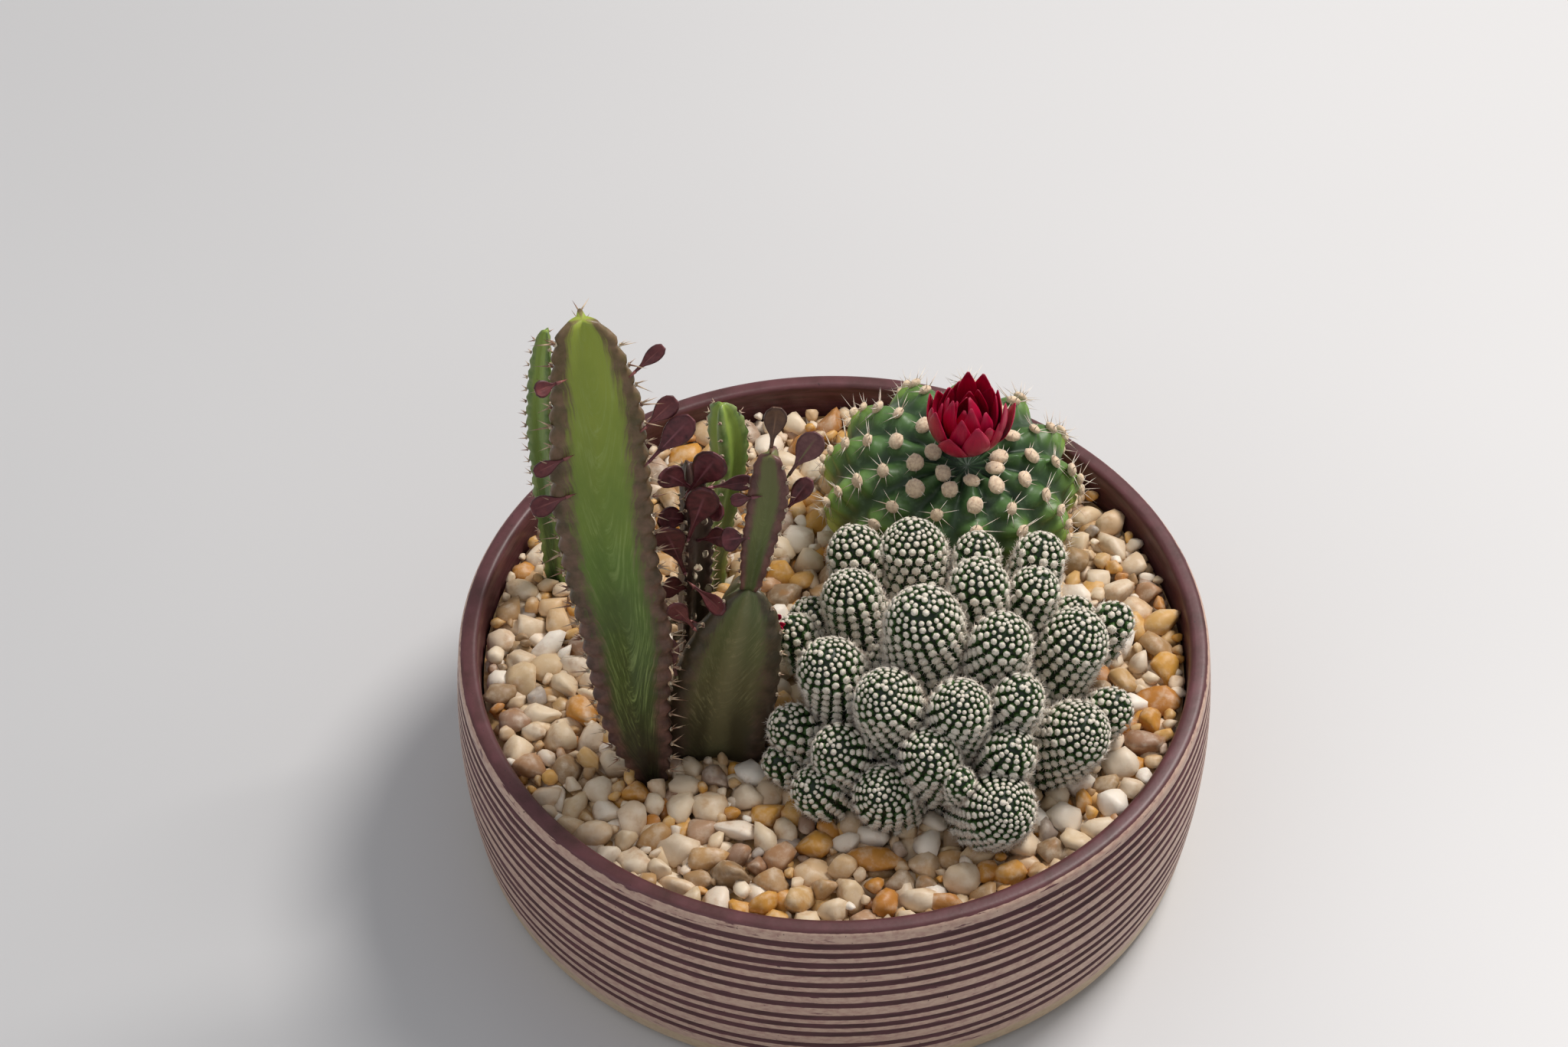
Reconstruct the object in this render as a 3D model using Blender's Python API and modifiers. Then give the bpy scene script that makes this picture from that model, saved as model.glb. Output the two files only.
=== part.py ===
"""Planted round bowl: a turned glazed bowl, its soil and gravel, and three succulents.

A clustering round cactus made of many heads, a low ribbed ball cactus in flower, and a leafy
three-angled euphorbia. Metres, +Z up, origin at the centre of the bowl's foot, front at -Y.
"""

import math

import bmesh
import bpy
from mathutils import Vector

MM = 0.001
COLLECTION = "planted_cactus_bowl"
CUTTERS = "planted_cactus_bowl_cutters"

# Bowl: outer wall, rim, turned grooves and foot.
BOWL_HEIGHT = 62.0
BOWL_SEGMENTS = 60
WALL_TOP_RADIUS = 99.5
WALL_SLOPE = 0.134
WALL_BARREL = 0.002684
GROOVE_DEPTHS = (4.6, 7.9, 11.7, 14.8, 19.3, 23.1, 27.7, 33.0, 36.9, 40.8, 46.2, 50.1)
GROOVE_HALF_WIDTH = 1.0
GROOVE_CUT = 0.7
LIP_ROUND = 2.1
INNER_RADIUS = 94.4
INNER_FOOT_RADIUS = 84.0
FLOOR_TOP = 6.0
INNER_CORNER_HEIGHT = 16.0
FOOT_RING_INNER = 78.0
FOOT_RECESS = 1.8

# Fill: soil up to the gravel, gravel up to just below the rim.
FIT_GAP = 0.4
SOIL_TOP = 46.7
GRAVEL_BOTTOM = 47.0
GRAVEL_TOP = 55.0
GRAVEL_CROWN = 0.6
PLANT_FOOT = 47.0
SOCKET_GAP = 0.5
SOCKET_REACH = 3.0

# Clustering cactus: one hidden core and the heads that grow out of it, as (x, y, z, radius).
CORE_CENTRE = (28.0, -24.0, 46.0)
CORE_HALF_SIZE = (34.0, 31.0, 39.0)
CORE_SEGMENTS = 24
CORE_RINGS = 14
HEAD_FOCUS = (28.0, -22.0, 0.0)
HEAD_DOME = 1.22
HEAD_NARROWING = 0.013
HEAD_SEGMENTS = 12
HEAD_RINGS = 10
CORE_GAP = 0.8
ROOT_CLEARANCE = 0.6
HEADS = (
    (6.0, 7.0, 85.0, 6.4),
    (21.0, 7.0, 85.0, 7.8),
    (37.5, 5.0, 87.0, 4.8),
    (37.0, -14.0, 95.0, 6.4),
    (54.0, 5.0, 85.5, 5.4),
    (51.5, -11.0, 90.0, 5.2),
    (4.5, -11.5, 88.0, 6.6),
    (22.5, -26.0, 93.5, 9.0),
    (42.0, -31.5, 93.5, 6.4),
    (61.5, -19.0, 78.5, 7.8),
    (73.0, -8.0, 74.5, 4.2),
    (-10.0, -16.0, 79.5, 4.4),
    (-1.0, -31.5, 82.5, 7.6),
    (13.0, -44.0, 85.0, 7.5),
    (31.0, -48.0, 86.5, 6.6),
    (46.0, -45.0, 87.0, 5.1),
    (61.0, -42.0, 69.0, 7.8),
    (-11.0, -38.0, 68.0, 5.4),
    (1.0, -49.0, 71.5, 6.3),
    (23.5, -56.0, 77.5, 6.3),
    (43.5, -54.0, 76.5, 5.5),
    (12.0, -58.0, 65.0, 6.7),
    (40.5, -63.5, 66.0, 8.3),
    (30.6, -62.0, 75.0, 3.0),
    (-5.0, -54.0, 62.5, 5.4),
    (-14.5, -43.0, 60.5, 3.6),
    (-5.0, -2.0, 68.0, 6.0),
    (71.0, -31.0, 66.0, 4.8),
    (63.0, 0.0, 66.0, 5.5),
)

# Ball cactus: a low ribbed globe with its flower.
BALL_CENTRE = (32.0, 47.4, 69.0)
BALL_RADIUS = 36.2
BALL_RISE = 20.3
BALL_DROP = 24.0
BALL_RIBS = 13
BALL_RIB_DEPTH = 2.4
BALL_SEGMENTS = 52
BALL_RINGS = 18
FLOWER_BASE = (36.0, 42.0, 89.4)
FLOWER_CUP_HEIGHT = 6.0
FLOWER_CUP_FOOT_RADIUS = 2.6
FLOWER_CUP_TOP_RADIUS = 4.4
PETALS = 6
PETAL_LENGTH = 15.0
PETAL_WIDTH = 7.0
PETAL_LEAN = 24.0
PETAL_THICKNESS = 0.7
PETAL_RING_RADIUS = 5.2
PETAL_FIRST_ANGLE = 30.0

# Euphorbia stems: ribbed sections as (x, y, z, rib radius), then the turn of the ribs.
RIB_COUNT = 3
RIB_HOLLOW = 1.15
STEM_SEGMENTS = 24
TRUNK = (
    (-31.4, -26.5, 47.0, 14.0),
    (-31.0, -26.5, 58.0, 15.0),
    (-28.8, -26.0, 79.0, 16.0),
    (-25.5, -26.0, 95.0, 13.5),
    (-23.5, -27.0, 104.0, 10.5),
    (-22.5, -28.0, 109.5, 6.5),
    (-22.0, -28.5, 111.5, 3.0),
)
TRUNK_TURN = -30.0
TALL_STEM = (
    (-47.5, -41.0, 47.0, 3.0),
    (-47.8, -40.8, 55.0, 4.0),
    (-49.8, -40.0, 66.0, 8.0),
    (-52.2, -38.2, 81.0, 10.0),
    (-52.8, -34.5, 106.0, 12.6),
    (-56.5, -31.0, 130.0, 13.0),
    (-58.0, -27.5, 154.0, 13.2),
    (-57.8, -24.5, 177.0, 11.4),
    (-58.8, -22.0, 190.0, 9.4),
    (-59.4, -21.0, 196.5, 6.0),
    (-59.8, -20.6, 199.5, 2.6),
)
TALL_STEM_TURN = -22.0
BRANCH = (
    (-21.6, -28.6, 112.0, 2.2),
    (-20.4, -28.8, 117.0, 3.0),
    (-19.6, -28.6, 125.0, 3.4),
    (-17.6, -28.0, 135.0, 3.9),
    (-15.6, -27.2, 148.0, 4.0),
    (-15.8, -26.6, 154.0, 2.6),
    (-16.0, -26.4, 157.0, 1.2),
)
BRANCH_TURN = 75.0
DARK_STEM = (
    (-38.0, -6.0, 47.0, 4.6),
    (-38.0, -7.5, 62.0, 4.8),
    (-37.0, -11.5, 88.0, 5.0),
    (-35.6, -17.5, 118.0, 5.0),
    (-35.6, -21.0, 138.0, 4.4),
    (-35.8, -22.0, 147.0, 3.0),
    (-36.0, -22.2, 150.0, 1.2),
)
DARK_STEM_TURN = 10.0
BACK_STEM = (
    (-74.5, 30.0, 47.0, 3.4),
    (-74.8, 30.0, 60.0, 3.6),
    (-75.6, 30.0, 84.0, 4.0),
    (-75.8, 30.0, 113.0, 4.2),
    (-74.6, 30.0, 132.0, 3.8),
    (-73.6, 30.0, 142.0, 2.6),
    (-73.2, 30.0, 145.5, 1.2),
)
BACK_STEM_TURN = 60.0
GREEN_SHOOT = (
    (-33.0, 27.0, 47.0, 4.2),
    (-33.0, 27.0, 60.0, 4.6),
    (-31.0, 27.0, 76.0, 5.0),
    (-27.4, 27.0, 100.0, 5.6),
    (-28.0, 27.0, 114.0, 6.2),
    (-28.5, 27.0, 119.0, 4.0),
    (-28.7, 27.0, 121.5, 1.6),
)
GREEN_SHOOT_TURN = 20.0

# Leaves, as (name, base, tip, width, bow). Widths along the blade are shares of the full width.
LEAF_THICKNESS = 0.8
LEAF_OUTLINE = (0.20, 0.17, 0.26, 0.52, 0.80, 0.97, 1.00, 0.84, 0.42)
PETAL_OUTLINE = (0.45, 0.70, 0.90, 1.00, 0.98, 0.85, 0.62, 0.38, 0.12)
LEAF_COLUMNS = 3
LEAVES = (
    ("tall_stem_leaf_1", (-48.1, -27.2, 185.4), (-41.0, -24.6, 191.4), 2.8, 0.5),
    ("tall_stem_leaf_2", (-64.8, -35.2, 165.0), (-72.4, -37.8, 162.6), 3.2, 0.8),
    ("tall_stem_leaf_3", (-64.8, -37.0, 153.8), (-73.6, -39.6, 151.8), 4.6, 0.8),
    ("tall_stem_leaf_4", (-46.0, -30.0, 169.8), (-38.4, -26.0, 175.4), 4.4, 0.6),
    ("tall_stem_leaf_5", (-45.2, -32.0, 160.4), (-34.6, -30.2, 173.6), 6.2, 1.0),
    ("dark_stem_leaf_1", (-36.5, -26.2, 143.0), (-28.6, -30.0, 160.0), 8.4, 1.2),
    ("dark_stem_leaf_2", (-36.8, -24.9, 125.5), (-31.4, -32.0, 150.5), 8.0, 1.2),
    ("dark_stem_leaf_3", (-30.8, -22.6, 141.6), (-20.2, -22.4, 143.4), 3.6, 0.4),
    ("dark_stem_leaf_4", (-38.0, -22.0, 110.0), (-42.4, -33.0, 137.8), 7.4, 1.0),
    ("dark_stem_leaf_5", (-35.6, -36.0, 104.6), (-40.8, -41.8, 119.6), 4.6, 0.6),
    ("branch_leaf_1", (-15.9, -26.1, 158.0), (-14.3, -26.0, 172.0), 5.2, 0.5),
    ("branch_leaf_2", (-11.5, -27.0, 150.4), (-4.2, -25.0, 162.4), 6.6, 0.7),
    ("branch_leaf_3", (-12.9, -28.0, 137.6), (-6.4, -27.0, 149.0), 4.8, 0.5),
)

# Finishes: linear colour, roughness, metallic.
FINISHES = {
    "bowl_glaze": ((0.30, 0.17, 0.14), 0.45, 0.0),
    "potting_soil": ((0.045, 0.030, 0.020), 0.95, 0.0),
    "gravel": ((0.56, 0.42, 0.29), 0.75, 0.0),
    "cluster_core": ((0.030, 0.060, 0.020), 0.80, 0.0),
    "cluster_heads": ((0.33, 0.36, 0.25), 0.75, 0.0),
    "ball_cactus": ((0.050, 0.150, 0.035), 0.55, 0.0),
    "flower_cup": ((0.22, 0.030, 0.045), 0.60, 0.0),
    "flower_petals": ((0.45, 0.010, 0.055), 0.50, 0.0),
    "trunk": ((0.095, 0.090, 0.035), 0.60, 0.0),
    "green_stem": ((0.130, 0.200, 0.030), 0.50, 0.0),
    "dark_stem": ((0.075, 0.045, 0.035), 0.60, 0.0),
    "burgundy_leaf": ((0.070, 0.016, 0.022), 0.45, 0.0),
}


def clear_scene():
    """Empties the file so that only this object is in it."""
    for item in list(bpy.data.objects):
        bpy.data.objects.remove(item, do_unlink=True)


def new_collection(name):
    """A collection linked to the scene."""
    group = bpy.data.collections.new(name)
    bpy.context.scene.collection.children.link(group)
    return group


def finish_of(slot):
    """The plain material of one slot, made once."""
    found = bpy.data.materials.get(slot)
    if found:
        return found
    colour, roughness, metallic = FINISHES[slot]
    material = bpy.data.materials.new(slot)
    material.use_nodes = True
    shader = material.node_tree.nodes["Principled BSDF"]
    shader.inputs["Base Color"].default_value = (*colour, 1.0)
    shader.inputs["Roughness"].default_value = roughness
    shader.inputs["Metallic"].default_value = metallic
    material.diffuse_color = (*colour, 1.0)
    return material


def place(name, bm, slot, group, smooth=True):
    """Turns a bmesh in millimetres into one named object in metres."""
    bmesh.ops.scale(bm, vec=(MM, MM, MM), verts=bm.verts)
    bmesh.ops.recalc_face_normals(bm, faces=bm.faces)
    for face in bm.faces:
        face.smooth = smooth
    mesh = bpy.data.meshes.new(name)
    bm.to_mesh(mesh)
    bm.free()
    item = bpy.data.objects.new(name, mesh)
    group.objects.link(item)
    if slot:
        mesh.materials.append(finish_of(slot))
    return item


def turned(name, profile, slot, group, segments=BOWL_SEGMENTS):
    """A turned piece: the half section at +X, swept round Z by a Screw modifier."""
    bm = bmesh.new()
    points = [bm.verts.new((radius, 0.0, height)) for radius, height in profile]
    for first, second in zip(points, points[1:]):
        bm.edges.new((first, second))
    bmesh.ops.scale(bm, vec=(MM, MM, MM), verts=bm.verts)
    mesh = bpy.data.meshes.new(name)
    bm.to_mesh(mesh)
    bm.free()
    item = bpy.data.objects.new(name, mesh)
    group.objects.link(item)
    mesh.materials.append(finish_of(slot))
    sweep = item.modifiers.new("turn", "SCREW")
    sweep.axis = "Z"
    sweep.angle = math.tau
    sweep.steps = segments
    sweep.render_steps = segments
    sweep.use_merge_vertices = True
    sweep.merge_threshold = 0.00005
    sweep.use_smooth_shade = True
    return item


def wall_radius(depth):
    """Outer radius of the bowl at a depth below the rim."""
    return WALL_TOP_RADIUS + WALL_SLOPE * depth - WALL_BARREL * depth * depth


def bowl_profile():
    """Half section of the bowl, from the middle of its floor over the rim to its underside."""
    profile = [(0.0, FLOOR_TOP), (INNER_FOOT_RADIUS, FLOOR_TOP)]
    for share in (0.35, 0.7, 1.0):
        angle = share * math.pi / 2
        radius = INNER_FOOT_RADIUS + (INNER_RADIUS - INNER_FOOT_RADIUS) * math.sin(angle)
        height = FLOOR_TOP + INNER_CORNER_HEIGHT * (1.0 - math.cos(angle))
        profile.append((radius, height))
    lip_centre = 0.5 * (INNER_RADIUS + WALL_TOP_RADIUS)
    lip_half = 0.5 * (WALL_TOP_RADIUS - INNER_RADIUS)
    for angle in (180.0, 140.0, 90.0, 40.0, 0.0):
        turn = math.radians(angle)
        radius = lip_centre + lip_half * math.cos(turn)
        height = BOWL_HEIGHT - LIP_ROUND + LIP_ROUND * math.sin(turn)
        profile.append((radius, height))
    for depth in GROOVE_DEPTHS:
        for offset, cut in ((-GROOVE_HALF_WIDTH, 0.0), (0.0, GROOVE_CUT), (GROOVE_HALF_WIDTH, 0.0)):
            level = depth + offset
            profile.append((wall_radius(level) - cut, BOWL_HEIGHT - level))
    profile += [
        (wall_radius(54.6), BOWL_HEIGHT - 54.6),
        (wall_radius(55.2) - 0.8, BOWL_HEIGHT - 55.4),
        (96.6, 3.0),
        (95.2, 0.9),
        (93.0, 0.0),
        (FOOT_RING_INNER, 0.0),
        (FOOT_RING_INNER - 1.5, FOOT_RECESS),
        (0.0, FOOT_RECESS),
    ]
    return profile


def soil_profile():
    """Half section of the soil, held just clear of the bowl's floor and wall."""
    inner = INNER_FOOT_RADIUS - FIT_GAP
    profile = [(0.0, SOIL_TOP), (INNER_RADIUS - FIT_GAP, SOIL_TOP)]
    for share in (1.0, 0.7, 0.35):
        angle = share * math.pi / 2
        radius = inner + (INNER_RADIUS - INNER_FOOT_RADIUS) * math.sin(angle)
        height = FLOOR_TOP + FIT_GAP + INNER_CORNER_HEIGHT * (1.0 - math.cos(angle))
        profile.append((radius, height))
    profile += [(inner - 1.0, FLOOR_TOP + FIT_GAP), (0.0, FLOOR_TOP + FIT_GAP)]
    return profile


def ellipsoid(centre, radii, drop, segments, rings):
    """A globe with its own half height above and below the centre."""
    bm = bmesh.new()
    bmesh.ops.create_uvsphere(bm, u_segments=segments, v_segments=rings, radius=1.0)
    for vert in bm.verts:
        tall = radii[2] if vert.co.z >= 0.0 else drop
        vert.co = Vector((vert.co.x * radii[0], vert.co.y * radii[1], vert.co.z * tall))
        vert.co += Vector(centre)
    return bm


def cut_foot(bm, level):
    """Cuts a body flat at a level and closes it."""
    geometry = bm.verts[:] + bm.edges[:] + bm.faces[:]
    cut = bmesh.ops.bisect_plane(
        bm, geom=geometry, plane_co=(0, 0, level), plane_no=(0, 0, 1), clear_inner=True
    )
    edges = [part for part in cut["geom_cut"] if isinstance(part, bmesh.types.BMEdge)]
    bmesh.ops.edgeloop_fill(bm, edges=edges)


def core_distance(point, axis):
    """How far inwards along -axis the core's surface is from a point."""
    start = [(point[i] - CORE_CENTRE[i]) / CORE_HALF_SIZE[i] for i in range(3)]
    step = [-axis[i] / CORE_HALF_SIZE[i] for i in range(3)]
    a = sum(value * value for value in step)
    b = 2.0 * sum(start[i] * step[i] for i in range(3))
    c = sum(value * value for value in start) - 1.0
    return (-b - math.sqrt(b * b - 4.0 * a * c)) / (2.0 * a)


def cluster_head(name, centre, radius, slot, group, extra=0.0):
    """One head: a domed tip and a tapering root that ends just clear of the core."""
    bm = bmesh.new()
    bmesh.ops.create_uvsphere(bm, u_segments=HEAD_SEGMENTS, v_segments=HEAD_RINGS, radius=1.0)
    middle = Vector(centre)
    axis = (middle - Vector(HEAD_FOCUS)).normalized()
    floor_distance = (middle.z - PLANT_FOOT) / axis.z - ROOT_CLEARANCE * radius
    root = min(core_distance(middle, axis) - CORE_GAP, floor_distance) + extra
    wide = radius + extra
    for vert in bm.verts:
        height = vert.co.z
        side = Vector((vert.co.x, vert.co.y, 0.0))
        if height >= 0.0:
            vert.co = side * wide + Vector((0.0, 0.0, height * wide * HEAD_DOME))
        else:
            closing = 1.0 + height * height * height
            taper = closing * (1.0 + HEAD_NARROWING * root * height)
            vert.co = side.normalized() * wide * taper + Vector((0.0, 0.0, height * root))
    turn = Vector((0, 0, 1)).rotation_difference(axis).to_matrix()
    bmesh.ops.rotate(bm, cent=(0, 0, 0), matrix=turn, verts=bm.verts)
    bmesh.ops.translate(bm, vec=middle, verts=bm.verts)
    return place(name, bm, slot, group)


def ball_cactus(name, group):
    """The ribbed globe, flat where it sits on the soil."""
    bm = bmesh.new()
    bmesh.ops.create_uvsphere(bm, u_segments=BALL_SEGMENTS, v_segments=BALL_RINGS, radius=1.0)
    for vert in bm.verts:
        share = math.hypot(vert.co.x, vert.co.y)
        angle = math.atan2(vert.co.y, vert.co.x)
        valley = 0.5 - 0.5 * math.cos(BALL_RIBS * angle)
        inset = BALL_RIB_DEPTH * valley * share * share / BALL_RADIUS
        wide = BALL_RADIUS * (1.0 - inset)
        tall = (BALL_RISE if vert.co.z >= 0.0 else BALL_DROP) * (1.0 - 0.5 * inset)
        vert.co = Vector((vert.co.x * wide, vert.co.y * wide, vert.co.z * tall))
        vert.co += Vector(BALL_CENTRE)
    cut_foot(bm, PLANT_FOOT)
    return place(name, bm, "ball_cactus", group)


def stem(name, stations, turn, slot, group, extra=0.0):
    """A ribbed stem: one rounded three-angled ring per station, bridged and closed."""
    bm = bmesh.new()
    rings = []
    for index, (x, y, z, radius) in enumerate(stations):
        ends = index in (0, len(stations) - 1)
        made = bmesh.ops.create_circle(bm, cap_ends=ends, segments=STEM_SEGMENTS, radius=1.0)
        for vert in made["verts"]:
            angle = math.atan2(vert.co.y, vert.co.x) - math.radians(turn)
            hollow = 0.5 - 0.5 * math.cos(RIB_COUNT * angle)
            reach = (radius + extra) / (1.0 + RIB_HOLLOW * hollow)
            vert.co = Vector((x + vert.co.x * reach, y + vert.co.y * reach, z))
        ring = set(made["verts"])
        rings.append([edge for edge in bm.edges if edge.verts[0] in ring and edge.verts[1] in ring])
    for lower, upper in zip(rings, rings[1:]):
        bmesh.ops.bridge_loops(bm, edges=lower + upper)
    return place(name, bm, slot, group)


def blade(name, base, tip, width, bow, outline, thickness, facing, slot, group):
    """A thin leaf or petal: a bowed grid given its outline, then its thickness."""
    rows = len(outline) - 1
    start, end = Vector(base), Vector(tip)
    along = end - start
    across = along.cross(Vector(facing)).normalized()
    face = across.cross(along).normalized()
    bm = bmesh.new()
    bmesh.ops.create_grid(bm, x_segments=LEAF_COLUMNS, y_segments=rows, size=0.5)
    for vert in bm.verts:
        share = vert.co.y + 0.5
        half = 0.5 * width * outline[round(share * rows)]
        lift = bow * 4.0 * share * (1.0 - share) - 0.35 * bow * (2.0 * vert.co.x) ** 2
        vert.co = start + along * share + across * (2.0 * vert.co.x * half) + face * lift
    item = place(name, bm, slot, group)
    shell = item.modifiers.new("thickness", "SOLIDIFY")
    shell.thickness = thickness * MM
    shell.offset = 0.0
    return item


def add_socket(item, cutter):
    """Cuts one plant's socket through the gravel."""
    cutter.hide_render = True
    cutter.display_type = "WIRE"
    cut = item.modifiers.new(cutter.name, "BOOLEAN")
    cut.operation = "DIFFERENCE"
    cut.solver = "EXACT"
    cut.object = cutter


def build_flower(group):
    """The ball cactus's flower: a short cup and a ring of upright petals."""
    x, y, z = FLOWER_BASE
    bm = bmesh.new()
    bmesh.ops.create_cone(
        bm, cap_ends=True, segments=16, radius1=FLOWER_CUP_FOOT_RADIUS,
        radius2=FLOWER_CUP_TOP_RADIUS, depth=FLOWER_CUP_HEIGHT,
    )
    bmesh.ops.translate(bm, vec=(x, y, z + 0.5 * FLOWER_CUP_HEIGHT), verts=bm.verts)
    place("flower_cup", bm, "flower_cup", group)
    for index in range(PETALS):
        angle = math.radians(PETAL_FIRST_ANGLE + index * 360.0 / PETALS)
        out = Vector((math.cos(angle), math.sin(angle), 0.0))
        lean = math.radians(PETAL_LEAN)
        base = Vector((x, y, z + 0.5 * FLOWER_CUP_HEIGHT)) + out * PETAL_RING_RADIUS
        tip = base + PETAL_LENGTH * (out * math.sin(lean) + Vector((0, 0, 1)) * math.cos(lean))
        blade(
            f"flower_petal_{index + 1}", base, tip, PETAL_WIDTH, 1.2, PETAL_OUTLINE,
            PETAL_THICKNESS, out, "flower_petals", group,
        )


def main():
    """Builds the bowl, its fill and its plants."""
    clear_scene()
    parts = new_collection(COLLECTION)
    cutters = new_collection(CUTTERS)
    turned("pot", bowl_profile(), "bowl_glaze", parts)
    turned("potting_soil", soil_profile(), "potting_soil", parts)
    gravel_radius = INNER_RADIUS - FIT_GAP
    gravel = turned(
        "gravel_bed",
        [
            (0.0, GRAVEL_TOP + GRAVEL_CROWN),
            (0.6 * gravel_radius, GRAVEL_TOP + 0.7 * GRAVEL_CROWN),
            (gravel_radius, GRAVEL_TOP),
            (gravel_radius, GRAVEL_BOTTOM),
            (0.0, GRAVEL_BOTTOM),
        ],
        "gravel",
        parts,
    )

    core = ellipsoid(
        CORE_CENTRE, CORE_HALF_SIZE, CORE_HALF_SIZE[2], CORE_SEGMENTS, CORE_RINGS
    )
    cut_foot(core, PLANT_FOOT)
    place("cluster_core", core, "cluster_core", parts)
    for index, (x, y, z, radius) in enumerate(HEADS):
        name = f"cluster_head_{index + 1:02d}"
        head = cluster_head(name, (x, y, z), radius, "cluster_heads", parts)
        lowest = min(vert.co.z for vert in head.data.vertices)
        if lowest < (GRAVEL_TOP + GRAVEL_CROWN + SOCKET_GAP) * MM:
            socket = cluster_head(
                name + "_socket", (x, y, z), radius, None, cutters, 2.0 * SOCKET_GAP
            )
            add_socket(gravel, socket)

    ball_cactus("ball_cactus_body", parts)
    build_flower(parts)

    stems = (
        ("euphorbia_trunk", TRUNK, TRUNK_TURN, "trunk"),
        ("euphorbia_tall_stem", TALL_STEM, TALL_STEM_TURN, "green_stem"),
        ("euphorbia_dark_stem", DARK_STEM, DARK_STEM_TURN, "dark_stem"),
        ("euphorbia_back_stem", BACK_STEM, BACK_STEM_TURN, "green_stem"),
        ("euphorbia_green_shoot", GREEN_SHOOT, GREEN_SHOOT_TURN, "green_stem"),
    )
    for name, stations, turn, slot in stems:
        stem(name, stations, turn, slot, parts)
        foot, rise = stations[0], stations[1]
        low = (foot[0], foot[1], GRAVEL_BOTTOM - SOCKET_REACH, foot[3])
        high = (rise[0], rise[1], GRAVEL_TOP + SOCKET_REACH, rise[3])
        socket = stem(name + "_socket", (low, high), turn, None, cutters, 2.0 * SOCKET_GAP)
        add_socket(gravel, socket)
    stem("euphorbia_branch", BRANCH, BRANCH_TURN, "dark_stem", parts)

    wide = [size + 2.0 * SOCKET_GAP for size in CORE_HALF_SIZE]
    core_socket = ellipsoid(CORE_CENTRE, wide, wide[2], CORE_SEGMENTS, CORE_RINGS)
    add_socket(gravel, place("cluster_socket", core_socket, None, cutters))
    ball = BALL_RADIUS + SOCKET_GAP
    ball_socket = ellipsoid(
        BALL_CENTRE, (ball, ball, BALL_RISE), BALL_DROP + 1.0,
        BALL_SEGMENTS, BALL_RINGS,
    )
    add_socket(gravel, place("ball_socket", ball_socket, None, cutters))

    for name, base, tip, width, bow in LEAVES:
        blade(
            name, base, tip, width, bow, LEAF_OUTLINE, LEAF_THICKNESS, (0.0, -0.8, 0.6),
            "burgundy_leaf", parts,
        )


main()
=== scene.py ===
"""Looks of a planted cactus bowl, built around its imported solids.

A turned clay bowl holds washed gravel, a clustering cactus of many small heads, a ribbed ball
cactus in flower and a leafy three-angled euphorbia. Lengths in the classes are millimetres.
"""

from __future__ import annotations

import logging
import math
import random
from dataclasses import dataclass, field
from enum import Enum

import bmesh
import bpy
import numpy as np
from mathutils import Matrix, Vector, noise
from mathutils.bvhtree import BVHTree


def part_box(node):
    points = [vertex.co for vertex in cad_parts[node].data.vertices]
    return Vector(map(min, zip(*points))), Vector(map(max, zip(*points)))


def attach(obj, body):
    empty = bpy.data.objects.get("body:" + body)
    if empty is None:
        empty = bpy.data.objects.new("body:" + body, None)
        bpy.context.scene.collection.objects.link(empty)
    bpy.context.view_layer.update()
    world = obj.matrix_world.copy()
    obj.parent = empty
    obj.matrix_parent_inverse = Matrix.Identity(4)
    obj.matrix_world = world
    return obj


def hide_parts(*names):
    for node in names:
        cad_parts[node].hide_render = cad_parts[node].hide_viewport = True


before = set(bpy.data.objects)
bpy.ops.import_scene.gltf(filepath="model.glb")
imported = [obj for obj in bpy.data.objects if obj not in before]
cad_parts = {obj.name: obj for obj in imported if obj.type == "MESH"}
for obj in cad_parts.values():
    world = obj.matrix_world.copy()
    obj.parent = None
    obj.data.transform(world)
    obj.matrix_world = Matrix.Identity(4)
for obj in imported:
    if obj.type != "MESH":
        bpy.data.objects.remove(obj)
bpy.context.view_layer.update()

MM = 0.001
BODY = "root"
UP = Vector((0.0, 0.0, 1.0))
LOG = logging.getLogger("planted_bowl")

Point = tuple[float, float, float]
Station = tuple[float, float, float, float]
Stop = tuple[float, str]


# ---------------------------------------------------------------- small tools


def linear(colour: str) -> tuple[float, float, float, float]:
    """Turns an sRGB hex colour such as "a0522d" to linear RGBA.

    Args:
        colour: six hex digits.

    Returns:
        The linear colour with full alpha.
    """
    parts = [int(colour[i : i + 2], 16) / 255.0 for i in (0, 2, 4)]
    lin = [p / 12.92 if p <= 0.04045 else ((p + 0.055) / 1.055) ** 2.4 for p in parts]
    return (lin[0], lin[1], lin[2], 1.0)


def add(tree, kind: str, inputs: dict | None = None, stops: tuple[Stop, ...] = (), **settings):
    """Adds one node with its settings, values and links.

    Args:
        tree: the material's node tree.
        kind: the node's type name.
        inputs: socket name or number to a value, or to the output socket that feeds it.
        stops: colour stops of a ramp, as position and hex colour.
        **settings: properties of the node.

    Returns:
        The new node.
    """
    made = tree.nodes.new(kind)
    for name, value in settings.items():
        setattr(made, name, value)
    for socket, value in (inputs or {}).items():
        if isinstance(value, bpy.types.NodeSocket):
            tree.links.new(value, made.inputs[socket])
        else:
            made.inputs[socket].default_value = value
    for index, (place, colour) in enumerate(stops):
        elements = made.color_ramp.elements
        stop = elements[index] if index < len(elements) else elements.new(place)
        stop.position = place
        stop.color = linear(colour)
    return made


def per_mm(size: float) -> float:
    """Scale of a pattern whose features are this many millimetres apart."""
    return 1.0 / (size * MM)


def mm(x: float, y: float, z: float) -> Vector:
    """A point or direction in millimetres, as metres."""
    return Vector((x, y, z)) * MM


def smooth_step(low: float, high: float, value: float) -> float:
    """0 below low, 1 above high, and a smooth rise between them."""
    t = min(1.0, max(0.0, (value - low) / (high - low)))
    return t * t * (3.0 - 2.0 * t)


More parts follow.
